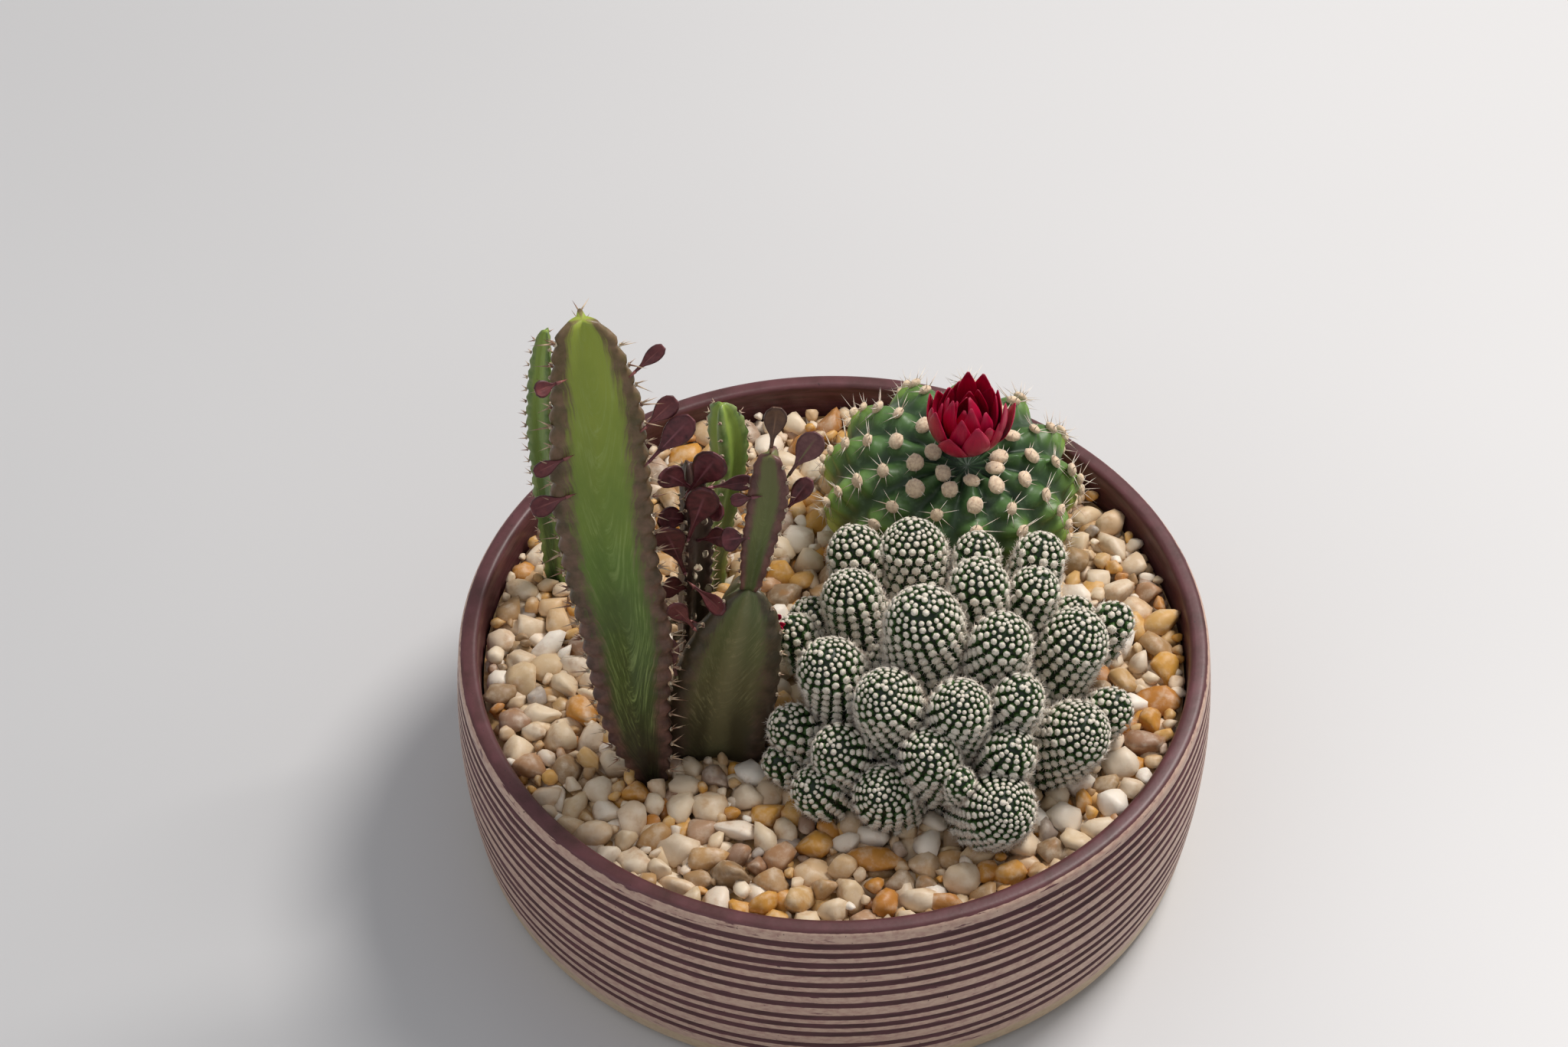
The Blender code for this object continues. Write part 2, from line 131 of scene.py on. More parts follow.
def basis(normal: Vector, turn: float = 0.0) -> Matrix:
    """A rotation that takes +Z to the normal, after a turn about it.

    Args:
        normal: where +Z goes.
        turn: angle about the normal, in radians.

    Returns:
        The rotation as a 4x4 matrix.
    """
    lean = UP.rotation_difference(normal.normalized()).to_matrix().to_4x4()
    return lean @ Matrix.Rotation(turn, 4, "Z")


# ---------------------------------------------------------------- finishes


class Coat(Enum):
    """The vertex values that the finishes read."""

    GLAZE = "glaze"
    BARE = "bare"
    TONE = "tone"
    RISE = "rise"
    RIB = "rib"
    HEIGHT = "height"
    ALONG = "along"
    ACROSS = "across"


@dataclass(frozen=True)
class Finish:
    """One surface finish: a common name and the values of its shader."""

    name: str = "Finish"
    roughness: float = 0.5
    ior: float = 1.45
    bump: float = 0.2
    bump_depth: float = 0.3

    def coat(self, tree, which: Coat):
        """Adds an attribute node that reads one vertex value.

        Args:
            tree: the node tree.
            which: the value to read.

        Returns:
            The value's output socket.
        """
        return add(tree, "ShaderNodeAttribute", attribute_name=which.value).outputs["Fac"]

    def colour(self, tree, place):
        """Builds the colour.

        Args:
            tree: the node tree.
            place: the object coordinates' socket.

        Returns:
            The colour socket and the socket that drives the bump, or None.
        """
        raise NotImplementedError

    def tune(self, shader) -> None:
        """Sets further shader sockets."""

    def make(self) -> bpy.types.Material:
        """Makes the material, or returns the one that is already made."""
        known = bpy.data.materials.get(self.name)
        if known:
            return known
        material = bpy.data.materials.new(self.name)
        material.use_nodes = True
        tree = material.node_tree
        tree.nodes.clear()
        place = add(tree, "ShaderNodeTexCoord").outputs["Object"]
        colour, height = self.colour(tree, place)
        shader = add(
            tree,
            "ShaderNodeBsdfPrincipled",
            {"Base Color": colour, "Roughness": self.roughness, "IOR": self.ior},
        )
        if height is not None:
            relief = add(
                tree,
                "ShaderNodeBump",
                {"Strength": self.bump, "Distance": self.bump_depth * MM, "Height": height},
            )
            tree.links.new(relief.outputs[0], shader.inputs["Normal"])
        self.tune(shader)
        add(tree, "ShaderNodeOutputMaterial", {"Surface": shader.outputs[0]})
        return material


def ramp(tree, value, *stops: Stop):
    """Colours a value by stops and returns the colour socket."""
    return add(tree, "ShaderNodeValToRGB", {"Fac": value}, stops=stops).outputs["Color"]


def blend(tree, amount, first, second, mode: str = "MIX"):
    """Mixes two colours.

    Args:
        tree: the node tree.
        amount: share of the second colour, a number or a socket.
        first: colour value or socket.
        second: colour value or socket.
        mode: blend mode.

    Returns:
        The mixed colour socket.
    """
    return add(
        tree,
        "ShaderNodeMix",
        {0: amount, 6: first, 7: second},
        data_type="RGBA",
        blend_type=mode,
    ).outputs[2]


def sums(tree, operation: str, first, second=0.0):
    """One arithmetic node on two values, returned as a socket kept between 0 and 1."""
    return add(
        tree, "ShaderNodeMath", {0: first, 1: second}, operation=operation, use_clamp=True
    ).outputs[0]


def grain(tree, place, size: float, detail: float = 3.0, stretch: Point = (1.0, 1.0, 1.0)):
    """Noise whose blobs are about size millimetres, returned as a 0 to 1 socket."""
    moved = add(tree, "ShaderNodeMapping", {"Vector": place, "Scale": stretch}).outputs[0]
    return add(
        tree,
        "ShaderNodeTexNoise",
        {"Vector": moved, "Scale": per_mm(size), "Detail": detail, "Roughness": 0.6},
    ).outputs["Fac"]


def edge(tree, value, low: float, high: float):
    """Stretches the part of a value between low and high over 0 to 1."""
    return add(
        tree,
        "ShaderNodeMapRange",
        {"Value": value, "From Min": low, "From Max": high},
        interpolation_type="SMOOTHSTEP",
    ).outputs[0]


@dataclass(frozen=True)
class TurnedClay(Finish):
    """Wheel-turned earthenware: plum slip in the grooves and on the lip, rubbed off the ridges."""

    name: str = "Turned_earthenware_worn_plum_slip"
    roughness: float = 0.42
    bump: float = 0.35
    bump_depth: float = 0.15
    slip: str = "492927"
    slip_light: str = "693d42"
    ridge: str = "cdae9a"
    ridge_pink: str = "b0877b"
    clay: str = "cdb696"

    def colour(self, tree, place):
        """Slip where the tool left it, clay where it is worn, and bare clay at the foot."""
        fine = grain(tree, place, 2.2, 3.0, (1.0, 1.0, 2.0))
        streak = grain(tree, place, 9.0, 4.0, (1.0, 1.0, 9.0))
        glaze = self.coat(tree, Coat.GLAZE)
        slip = ramp(tree, streak, (0.3, self.slip), (0.75, self.slip_light))
        worn = ramp(tree, fine, (0.25, self.ridge_pink), (0.6, self.ridge))
        rubbed = sums(tree, "ADD", glaze, sums(tree, "MULTIPLY", edge(tree, streak, 0.52, 0.74), 0.5))
        ragged = sums(tree, "SUBTRACT", rubbed, sums(tree, "MULTIPLY", fine, 0.3))
        skin = blend(tree, edge(tree, ragged, 0.16, 0.40), worn, slip)
        bare = edge(tree, self.coat(tree, Coat.BARE), 0.3, 0.7)
        foot = ramp(tree, fine, (0.2, "b79c7c"), (0.7, self.clay))
        speck = edge(tree, grain(tree, place, 1.1, 1.0), 0.74, 0.78)
        specked = blend(tree, sums(tree, "MULTIPLY", speck, 0.7), skin, linear("3a2426"))
        return blend(tree, bare, specked, foot), fine


@dataclass(frozen=True)
class PottingMix(Finish):
    """Peat and grit potting mix: dark crumbs with pale specks."""

    name: str = "Peat_potting_mix"
    roughness: float = 0.95
    bump: float = 1.0
    bump_depth: float = 1.2

    def colour(self, tree, place):
        """Dark brown crumbs."""
        crumb = grain(tree, place, 2.5, 5.0)
        return ramp(tree, crumb, (0.3, "1c130d"), (0.62, "4a3526"), (0.75, "8f7a60")), crumb


@dataclass(frozen=True)
class PebbleStone(Finish):
    """Washed quartz gravel: each stone one colour, cloudy inside, with iron stain on some."""

    name: str = "Washed_quartz_gravel"
    roughness: float = 0.48
    bump: float = 0.35
    bump_depth: float = 0.35

    def colour(self, tree, place):
        """A tone for each stone, cloud and stain over it."""
        tone = self.coat(tree, Coat.TONE)
        base = ramp(
            tree,
            tone,
            (0.0, "ead9bf"),
            (0.14, "cfb288"),
            (0.26, "f4ecdf"),
            (0.38, "cfab7c"),
            (0.48, "dccab0"),
            (0.58, "bd9461"),
            (0.66, "8f7558"),
            (0.74, "d2a868"),
            (0.82, "d09a44"),
            (0.90, "b9792c"),
            (0.95, "a39a90"),
            (1.0, "96602f"),
        )
        cloud = grain(tree, place, 3.2, 5.0)
        stain = edge(tree, grain(tree, place, 6.0, 4.0), 0.52, 0.72)
        warm = blend(tree, sums(tree, "MULTIPLY", stain, 0.5), base, linear("a8712f"))
        pale = edge(tree, cloud, 0.42, 0.72)
        return blend(tree, sums(tree, "MULTIPLY", pale, 0.36), warm, linear("f0e4d0")), cloud

    def tune(self, shader) -> None:
        """Quartz lets a little light in."""
        shader.inputs["Subsurface Weight"].default_value = 0.12
        shader.inputs["Subsurface Radius"].default_value = (0.002, 0.0015, 0.001)


@dataclass(frozen=True)
class TubercleSkin(Finish):
    """Cactus skin of the clustering plant: painted shade, near black-green, in the gaps; fresh green on the tubercles.
    """

    name: str = "Cactus_skin_dark_green"
    roughness: float = 0.5
    # low is painted shade for the gaps between tubercles; high is the tubercles' own green.
    low: str = "12230d"
    high: str = "56783c"

    def colour(self, tree, place):
        """Painted shade: dark in the gaps and lighter on the raised parts."""
        mottle = grain(tree, place, 2.0)
        rise = self.coat(tree, Coat.RISE)
        painted_light = sums(tree, "ADD", rise, sums(tree, "MULTIPLY", mottle, 0.15))
        return ramp(tree, painted_light, (0.05, self.low), (0.5, "2c4b20"), (1.0, self.high)), mottle


@dataclass(frozen=True)
class AreoleWool(Finish):
    """Felted areole wool and the bases of short spines: cream with a pink cast."""

    name: str = "Areole_wool_cream"
    roughness: float = 0.95
    bump: float = 0.8
    bump_depth: float = 0.25
    shade: str = "c4baa4"
    light: str = "f6f0e0"
    fibre: float = 0.5

    def colour(self, tree, place):
        """Cream felt with darker clefts."""
        felt = grain(tree, place, self.fibre, 3.0)
        patch = grain(tree, place, 8.0, 2.0)
        wool = ramp(tree, felt, (0.25, self.shade), (0.6, self.light))
        return blend(tree, sums(tree, "MULTIPLY", patch, 0.35), wool, linear("dccbbd")), felt

    def tune(self, shader) -> None:
        """Wool has a soft sheen and glows a little."""
        shader.inputs["Sheen Weight"].default_value = 0.25
        shader.inputs["Subsurface Weight"].default_value = 0.1
        shader.inputs["Subsurface Radius"].default_value = (0.001, 0.0008, 0.0006)


@dataclass(frozen=True)
class Spine(Finish):
    """Dry cactus spines: horn-like, pale with a slight gloss."""

    name: str = "Cactus_spine_ivory"
    roughness: float = 0.45
    pale: str = "f2eadc"
    warm: str = "d8c3b2"

    def colour(self, tree, place):
        """Ivory that turns warmer in patches."""
        patch = grain(tree, place, 5.0, 2.0)
        return ramp(tree, patch, (0.35, self.warm), (0.62, self.pale)), None

    def tune(self, shader) -> None:
        """Thin horn passes light."""
        shader.inputs["Subsurface Weight"].default_value = 0.2
        shader.inputs["Subsurface Radius"].default_value = (0.001, 0.0008, 0.0006)


@dataclass(frozen=True)
class BallSkin(Finish):
    """Ribbed ball cactus skin: blue-green at the crown, yellow-green low on the sides."""

    name: str = "Cactus_skin_ball"
    roughness: float = 0.42
    bump: float = 0.25

    def colour(self, tree, place):
        """A gradient down the body, painted shade in the furrows, mottled."""
        rise = self.coat(tree, Coat.RISE)
        down = self.coat(tree, Coat.ALONG)
        mottle = grain(tree, place, 3.0, 4.0)
        broad = grain(tree, place, 22.0, 2.0)
        body = ramp(
            tree,
            sums(tree, "ADD", down, sums(tree, "MULTIPLY", broad, 0.2)),
            (0.12, "3c5c34"),
            (0.45, "4a6c34"),
            (0.72, "71903a"),
            (1.0, "a9b150"),
        )
        # Painted shade: the furrows are mixed three quarters of the way to near-black green.
        deep = blend(tree, 0.75, body, linear("10241a"))
        skin = blend(tree, edge(tree, rise, 0.0, 0.62), deep, body)
        dust = sums(tree, "MULTIPLY", edge(tree, mottle, 0.5, 0.75), 0.22)
        return blend(tree, dust, skin, linear("86a678")), mottle


@dataclass(frozen=True)
class PetalPaper(Finish):
    """Thin crimson petals: satin, darker towards the base, with a painted pink highlight whose strength each petal's
    tone sets.
    """

    name: str = "Flower_petal_crimson"
    roughness: float = 0.38
    bump: float = 0.3
    bump_depth: float = 0.2

    def colour(self, tree, place):
        """Crimson with fine lengthwise veins and a painted pink highlight."""
        along = self.coat(tree, Coat.ALONG)
        across = self.coat(tree, Coat.ACROSS)
        lines = add(
            tree,
            "ShaderNodeCombineXYZ",
            {0: sums(tree, "MULTIPLY", across, 1.0), 1: sums(tree, "MULTIPLY", along, 0.08)},
        ).outputs[0]
        veins = add(tree, "ShaderNodeTexNoise", {"Vector": lines, "Scale": 26.0}).outputs["Fac"]
        base = ramp(tree, along, (0.0, "4a0418"), (0.4, "94042a"), (0.8, "c0083a"), (1.0, "9c0630"))
        streak = sums(tree, "MULTIPLY", edge(tree, veins, 0.5, 0.75), 0.4)
        tone = self.coat(tree, Coat.TONE)
        # Painted highlight: a petal's tone mixes up to about a fifth of bright pink into it.
        painted_light = blend(tree, sums(tree, "MULTIPLY", tone, 0.22), base, linear("e0306a"))
        return blend(tree, streak, painted_light, linear("7c0a2c")), veins

    def tune(self, shader) -> None:
        """Petals glow when lit from behind."""
        shader.inputs["Subsurface Weight"].default_value = 0.25
        shader.inputs["Subsurface Radius"].default_value = (0.003, 0.0008, 0.001)


@dataclass(frozen=True)
class StemSkin(Finish):
    """Waxy euphorbia skin: marbled green faces, brown-purple ribs, darker wood at the foot."""

    name: str = "Euphorbia_skin"
    roughness: float = 0.46
    bump: float = 0.2
    face_low: str = "33321c"
    face_dim: str = "4a5a24"
    face_mid: str = "6c8a2c"
    face_top: str = "8fae3c"
    rib: str = "4a3128"
    rib_light: str = "76584a"
    centre_share: float = 0.0
    rib_start: float = 0.35
    marble: str = "b7c878"
    marble_share: float = 0.5
    foot: str = "2a1f18"
    foot_reach: float = 0.22

    def colour(self, tree, place):
        """Face colour by height, feathery marbling, brown ribs, corky foot."""
        rib = self.coat(tree, Coat.RIB)
        height = self.coat(tree, Coat.HEIGHT)
        across = self.coat(tree, Coat.ACROSS)
        mottle = grain(tree, place, 4.0, 4.0)
        broad = grain(tree, place, 13.0, 4.0, (1.0, 1.0, 0.5))
        face = ramp(
            tree,
            sums(tree, "ADD", height, sums(tree, "MULTIPLY", sums(tree, "SUBTRACT", broad, 0.3), 0.4)),
            (0.16, self.face_low),
            (0.42, self.face_dim),
            (0.64, self.face_mid),
            (1.0, self.face_top),
        )
        slant = add(
            tree,
            "ShaderNodeMath",
            {0: height, 1: -0.16, 2: across},
            operation="MULTIPLY_ADD",
        )
        rising = add(
            tree, "ShaderNodeMath", {0: rib, 1: -0.3, 2: height}, operation="MULTIPLY_ADD"
        ).outputs[0]
        feather = add(
            tree, "ShaderNodeCombineXYZ", {0: slant.outputs[0], 1: rising}
        ).outputs[0]
        stretched = add(
            tree, "ShaderNodeMapping", {"Vector": feather, "Scale": (5.0, 26.0, 1.0)}
        ).outputs[0]
        veins = add(
            tree,
            "ShaderNodeTexNoise",
            {"Vector": stretched, "Scale": 1.5, "Detail": 6.0, "Roughness": 0.7, "Distortion": 0.6},
        ).outputs["Fac"]
        patchy = sums(tree, "MULTIPLY", edge(tree, broad, 0.35, 0.65), self.marble_share)
        vein = sums(tree, "MULTIPLY", edge(tree, veins, 0.46, 0.68), patchy)
        middle = sums(tree, "MULTIPLY", edge(tree, sums(tree, "ADD", rib, sums(tree, "MULTIPLY", veins, 0.4)), 0.5, 0.1),
                      self.centre_share)  # fmt: skip
        marbled = blend(tree, sums(tree, "ADD", vein, middle), face, linear(self.marble))
        ragged = sums(tree, "ADD", rib, sums(tree, "MULTIPLY", sums(tree, "SUBTRACT", veins, 0.3), 0.8))
        banded = blend(
            tree,
            edge(tree, ragged, self.rib_start, self.rib_start + 0.4),
            marbled,
            ramp(tree, mottle, (0.36, self.rib), (0.66, self.rib_light)),
        )
        cork = edge(
            tree, sums(tree, "ADD", height, sums(tree, "MULTIPLY", mottle, 0.12)), self.foot_reach, 0.05
        )
        return blend(tree, sums(tree, "MULTIPLY", cork, 0.85), banded, linear(self.foot)), mottle

    def tune(self, shader) -> None:
        """A wax bloom softens the light."""
        shader.inputs["Subsurface Weight"].default_value = 0.06
        shader.inputs["Subsurface Radius"].default_value = (0.001, 0.002, 0.0005)
        shader.inputs["Coat Weight"].default_value = 0.08


@dataclass(frozen=True)
class LeafSkin(Finish):
    """Small succulent leaves: burgundy with a paler midrib and a satin skin."""

    name: str = "Euphorbia_leaf_burgundy"
    roughness: float = 0.4
    deep: str = "431b20"
    light: str = "74383c"
    vein: str = "9a5f66"
    bump: float = 0.25

    def colour(self, tree, place):
        """Burgundy blade, pink midrib, darker edge."""
        across = self.coat(tree, Coat.ACROSS)
        along = self.coat(tree, Coat.ALONG)
        mottle = grain(tree, place, 2.5, 4.0)
        blade = ramp(tree, mottle, (0.3, self.deep), (0.68, self.light))
        pink = sums(tree, "MULTIPLY", edge(tree, across, 0.14, 0.0), edge(tree, along, 1.0, 0.4))
        ribbed = blend(tree, sums(tree, "MULTIPLY", pink, 0.75), blade, linear(self.vein))
        rim = sums(tree, "MULTIPLY", edge(tree, across, 0.8, 1.0), 0.5)
        return blend(tree, rim, ribbed, linear("2c0c12")), mottle


@dataclass(frozen=True)
class DriedBract(Finish):
    """Dried stipules and flower scraps: papery cream and brown."""

    name: str = "Dried_stipule_papery"
    roughness: float = 0.85
    pale: str = "d6c7ab"
    dark: str = "6b4a3c"

    def colour(self, tree, place):
        """Patchy papery colour."""
        patch = grain(tree, place, 1.8, 3.0)
        return ramp(tree, patch, (0.38, self.dark), (0.6, self.pale)), patch


@dataclass(frozen=True)
class Tabletop(Finish):
    """Matt lacquered tabletop: pale, even, with the faintest cloud."""

    name: str = "Lacquered_tabletop"
    roughness: float = 0.42

    def colour(self, tree, place):
        """Warm pale grey."""
        cloud = grain(tree, place, 400.0, 2.0)
        return ramp(tree, cloud, (0.3, "cdcdcd"), (0.7, "d2d2d2")), None


CLAY = TurnedClay()
SOIL = PottingMix()
STONE = PebbleStone()
HEAD_SKIN = TubercleSkin()
HEAD_WOOL = AreoleWool()
HEAD_SPINE = Spine()
BALL_SKIN = BallSkin()
BALL_WOOL = AreoleWool(name="Areole_wool_ball", shade="bb997c", light="f0d8b6", fibre=0.9)
PETAL = PetalPaper()
THORN = Spine(name="Euphorbia_thorn_tan", pale="d8c0a0", warm="8a5a48")
GREEN_THORN = Spine(name="Euphorbia_thorn_pink", pale="e0c9b0", warm="a8766a")
LEAF = LeafSkin()
RED_LEAF = LeafSkin(name="Euphorbia_leaf_red", deep="56262a", light="7a3e3e", vein="a3655f")
OLIVE_LEAF = LeafSkin(name="Euphorbia_leaf_olive", deep="4c3428", light="71503a", vein="9a7458")
MAUVE_LEAF = LeafSkin(name="Euphorbia_leaf_mauve", deep="5a3236", light="7d5350", vein="7f8050")
BRACT = DriedBract()


# ---------------------------------------------------------------- making pieces


class Stamp:
    """A small template mesh that is pressed many times into a growing bmesh."""

    def __init__(self, bm: bmesh.types.BMesh, smooth: bool = True) -> None:
        """Keeps the template.

        Args:
            bm: the template, which is freed.
            smooth: whether its faces are smooth shaded.
        """
        bmesh.ops.recalc_face_normals(bm, faces=bm.faces)
        for face in bm.faces:
            face.smooth = smooth
        self.mesh = bpy.data.meshes.new("template")
        bm.to_mesh(self.mesh)
        bm.free()
        self.count = len(self.mesh.vertices)
        flat = np.zeros(self.count * 3)
        self.mesh.vertices.foreach_get("co", flat)
        self.points = flat.reshape(-1, 3)

    def press(self, target: bmesh.types.BMesh, matrix: Matrix) -> None:
        """Adds one copy of the template.

        Args:
            target: the bmesh that grows.
            matrix: where the copy goes.
        """
        turn = np.array(matrix, float)
        placed = self.points @ turn[:3, :3].T + turn[:3, 3]
        self.mesh.vertices.foreach_set("co", placed.ravel())
        target.from_mesh(self.mesh)


@dataclass
class Piece:
    """A growing mesh with a finish for each material number and values for each vertex."""

    name: str
    finishes: tuple[Finish, ...]
    bm: bmesh.types.BMesh = field(default_factory=bmesh.new)
    values: dict[Coat, list[float]] = field(default_factory=dict)

    def note(self, **coats: float) -> None:
        """Gives these values to every vertex added since the last note."""
        total = len(self.bm.verts)
        for name, value in coats.items():
            kept = self.values.setdefault(Coat[name.upper()], [])
            kept.extend([value] * (total - len(kept)))

    def press(self, stamp: Stamp, matrix: Matrix, **coats: float) -> None:
        """Presses a stamp and notes its vertex values."""
        stamp.press(self.bm, matrix)
        self.note(**coats)

    def finish(self, nodes: tuple[str, ...] = (), slot: str = "") -> bpy.types.Object:
        """Turns the bmesh into a piece that rides on the body.

        Args:
            nodes: CAD nodes that it stands for.
            slot: the record's material slot; not used.

        Returns:
            The object.
        """
        mesh = bpy.data.meshes.new(self.name)
        self.bm.to_mesh(mesh)
        self.bm.free()
        for coat, values in self.values.items():
            filled = list(values) + [0.0] * (len(mesh.vertices) - len(values))
            layer = mesh.attributes.new(coat.value, "FLOAT", "POINT")
            layer.data.foreach_set("value", filled)
        for finish in self.finishes:
            mesh.materials.append(finish.make())
        made = bpy.data.objects.new(self.name, mesh)
        bpy.context.scene.collection.objects.link(made)
        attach(made, BODY)
        if nodes:
            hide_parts(*nodes)
        LOG.info("%s: %d vertices, %d faces", self.name, len(mesh.vertices), len(mesh.polygons))
        return made


def needle(
    bm: bmesh.types.BMesh,
    foot: Vector,
    way: Vector,
    length: float,
    radius: float,
    sides: int = 3,
    material: int = 0,
    curl: float = 0.0,
) -> None:
    """Adds one tapering spine in millimetres.

    Args:
        bm: the bmesh it is added to.
        foot: where it starts.
        way: its direction.
        length: its length.
        radius: radius at the foot.
        sides: number of sides.
        material: material number.
        curl: how far the tip bends back towards -Z, as a share of the length.
    """
    turned = Matrix.Translation(foot + way.normalized() * length / 2) @ basis(way)
    made = bmesh.ops.create_cone(
        bm,
        cap_ends=True,
        segments=sides,
        radius1=radius,
        radius2=0.0,
        depth=length,
        matrix=turned,
    )
    for vert in made["verts"]:
        reach = (vert.co - foot).dot(way.normalized()) / length
        vert.co.z -= curl * length * reach * reach
    for face in {f for v in made["verts"] for f in v.link_faces}:
        face.material_index = material


def pad(
    bm: bmesh.types.BMesh, centre: Vector, radius: float, height: float, material: int, level: int = 1
) -> None:
    """Adds a squashed round pad, such as an areole's wool.

    Args:
        bm: the bmesh it is added to.
        centre: its middle.
        radius: half its width.
        height: half its thickness.
        material: material number.
        level: subdivision of the ball it starts from.
    """
    made = bmesh.ops.create_icosphere(bm, subdivisions=level, radius=1.0)
    bmesh.ops.scale(bm, vec=(radius, radius, height), verts=made["verts"])
    bmesh.ops.translate(bm, vec=centre, verts=made["verts"])
    for face in {f for v in made["verts"] for f in v.link_faces}:
        face.material_index = material


# ---------------------------------------------------------------- bowl


@dataclass
class Bowl:
    """The turned bowl, spun from its profile."""

    segments: int = 220
    top_radius: float = 99.5
    slope: float = 0.134
    barrel: float = 0.002684
    grooves: tuple[float, ...] = (
        4.6, 7.9, 11.7, 14.8, 19.3, 23.1, 27.7, 33.0, 36.9, 40.8, 46.2, 50.1,
    )  # fmt: skip
    groove_half: float = 1.0
    groove_cut: float = 0.7
    lip: float = 2.1
    inner_radius: float = 94.4
    inner_foot: float = 84.0
    floor_top: float = 6.0
    foot_round: float = 5.0
    foot_radius: float = 93.0
    ring_inner: float = 78.0
    recess: float = 1.8
    step: float = 0.36
    wander: float = 0.28
    bare_from: float = 54.5

    def wall(self, depth: float) -> float:
        """Outer radius this far below the rim."""
        return self.top_radius + self.slope * depth - self.barrel * depth * depth

    def cut(self, depth: float) -> float:
        """How much of a groove is here, 0 on a ridge and 1 in a groove's bed."""
        return max(
            0.5 + 0.5 * math.cos(math.pi * min(1.0, abs(depth - g) / (self.groove_half * 1.15)))
            for g in self.grooves
        )

    def profile(self, height: float) -> list[tuple[float, float]]:
        """Radius and height from under the foot, up the outside, over the lip and down inside."""
        low = height - self.foot_round
        points = [(0.0, self.recess), (self.ring_inner - 1.2, self.recess), (self.ring_inner, 0.0)]
        points.append((self.foot_radius, 0.0))
        foot_wall = self.wall(low)
        for i in range(1, 8):
            turn = i / 8 * math.pi / 2
            reach = (foot_wall - self.foot_radius) * math.sin(turn)
            points.append((self.foot_radius + reach, self.foot_round * (1 - math.cos(turn))))
        count = int((low - self.lip) / self.step)
        for i in range(count + 1):
            depth = low + (self.lip - low) * i / count
            points.append((self.wall(depth) - self.groove_cut * self.cut(depth), height - depth))
        outer = self.wall(self.lip)
        for i in range(1, 7):
            turn = i / 6 * math.pi / 2
            points.append(
                (outer - self.lip * (1 - math.cos(turn)), height - self.lip * (1 - math.sin(turn)))
            )
        for i in range(6):
            turn = i / 6 * math.pi / 2
            reach = self.lip * 0.8 * math.sin(turn)
            edge_at = self.inner_radius + self.lip * 0.8 - reach
            points.append((edge_at, height - self.lip * 0.8 * (1 - math.cos(turn))))
        points += [(self.inner_radius - 0.1, height - 4.0), (self.inner_radius - 0.4, 40.0)]
        points += [(self.inner_foot, 16.0), (self.inner_foot - 8, self.floor_top), (0.0, self.floor_top)]
        return points

    def build(self) -> bpy.types.Object:
        """Spins the profile, lets the turning wander and notes where the slip stays."""
        low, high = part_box("pot")
        height = (high.z - low.z) / MM
        piece = Piece("bowl_turned", (CLAY,))
        bm = piece.bm
        ring = [bm.verts.new((r, 0.0, z)) for r, z in self.profile(height)]
        edges = [bm.edges.new(pair) for pair in zip(ring, ring[1:])]
        bmesh.ops.spin(
            bm,
            geom=ring + edges,
            cent=(0, 0, 0),
            axis=(0, 0, 1),
            angle=2 * math.pi,
            steps=self.segments,
            use_merge=True,
        )
        bmesh.ops.remove_doubles(bm, verts=bm.verts, dist=0.01)
        bmesh.ops.recalc_face_normals(bm, faces=bm.faces)
        glaze, bare = [], []
        for vert in bm.verts:
            radius = math.hypot(vert.co.x, vert.co.y)
            depth = height - vert.co.z
            outside = radius > self.inner_radius + 4.0 and depth > 0.15
            near = min(abs(depth - g) for g in self.grooves)
            worn = 1.0 - smooth_step(0.75, 1.25, near) if outside else 1.0
            if outside and depth < 3.4:
                worn = max(0.14, 1.0 - smooth_step(0.15, 0.9, depth))
            if depth > 52.0 and radius > 90:
                worn = 0.12
            glaze.append(worn)
            bare.append(smooth_step(self.bare_from - 1.0, self.bare_from + 1.0, depth))
            if radius > 1.0 and depth < 52.5:
                way = vert.co.normalized()
                drift = noise.noise(Vector((way.x * 2.4, way.y * 2.4, depth * 0.11)))
                vert.co.z += self.wander * drift * smooth_step(0.0, 3.0, depth) * outside
        bmesh.ops.transform(bm, matrix=Matrix.Scale(MM, 4), verts=bm.verts)
        for face in bm.faces:
            face.smooth = True
        piece.values = {Coat.GLAZE: glaze, Coat.BARE: bare}
        made = piece.finish(("pot",), "bowl_glaze")
        return made


# ---------------------------------------------------------------- gravel


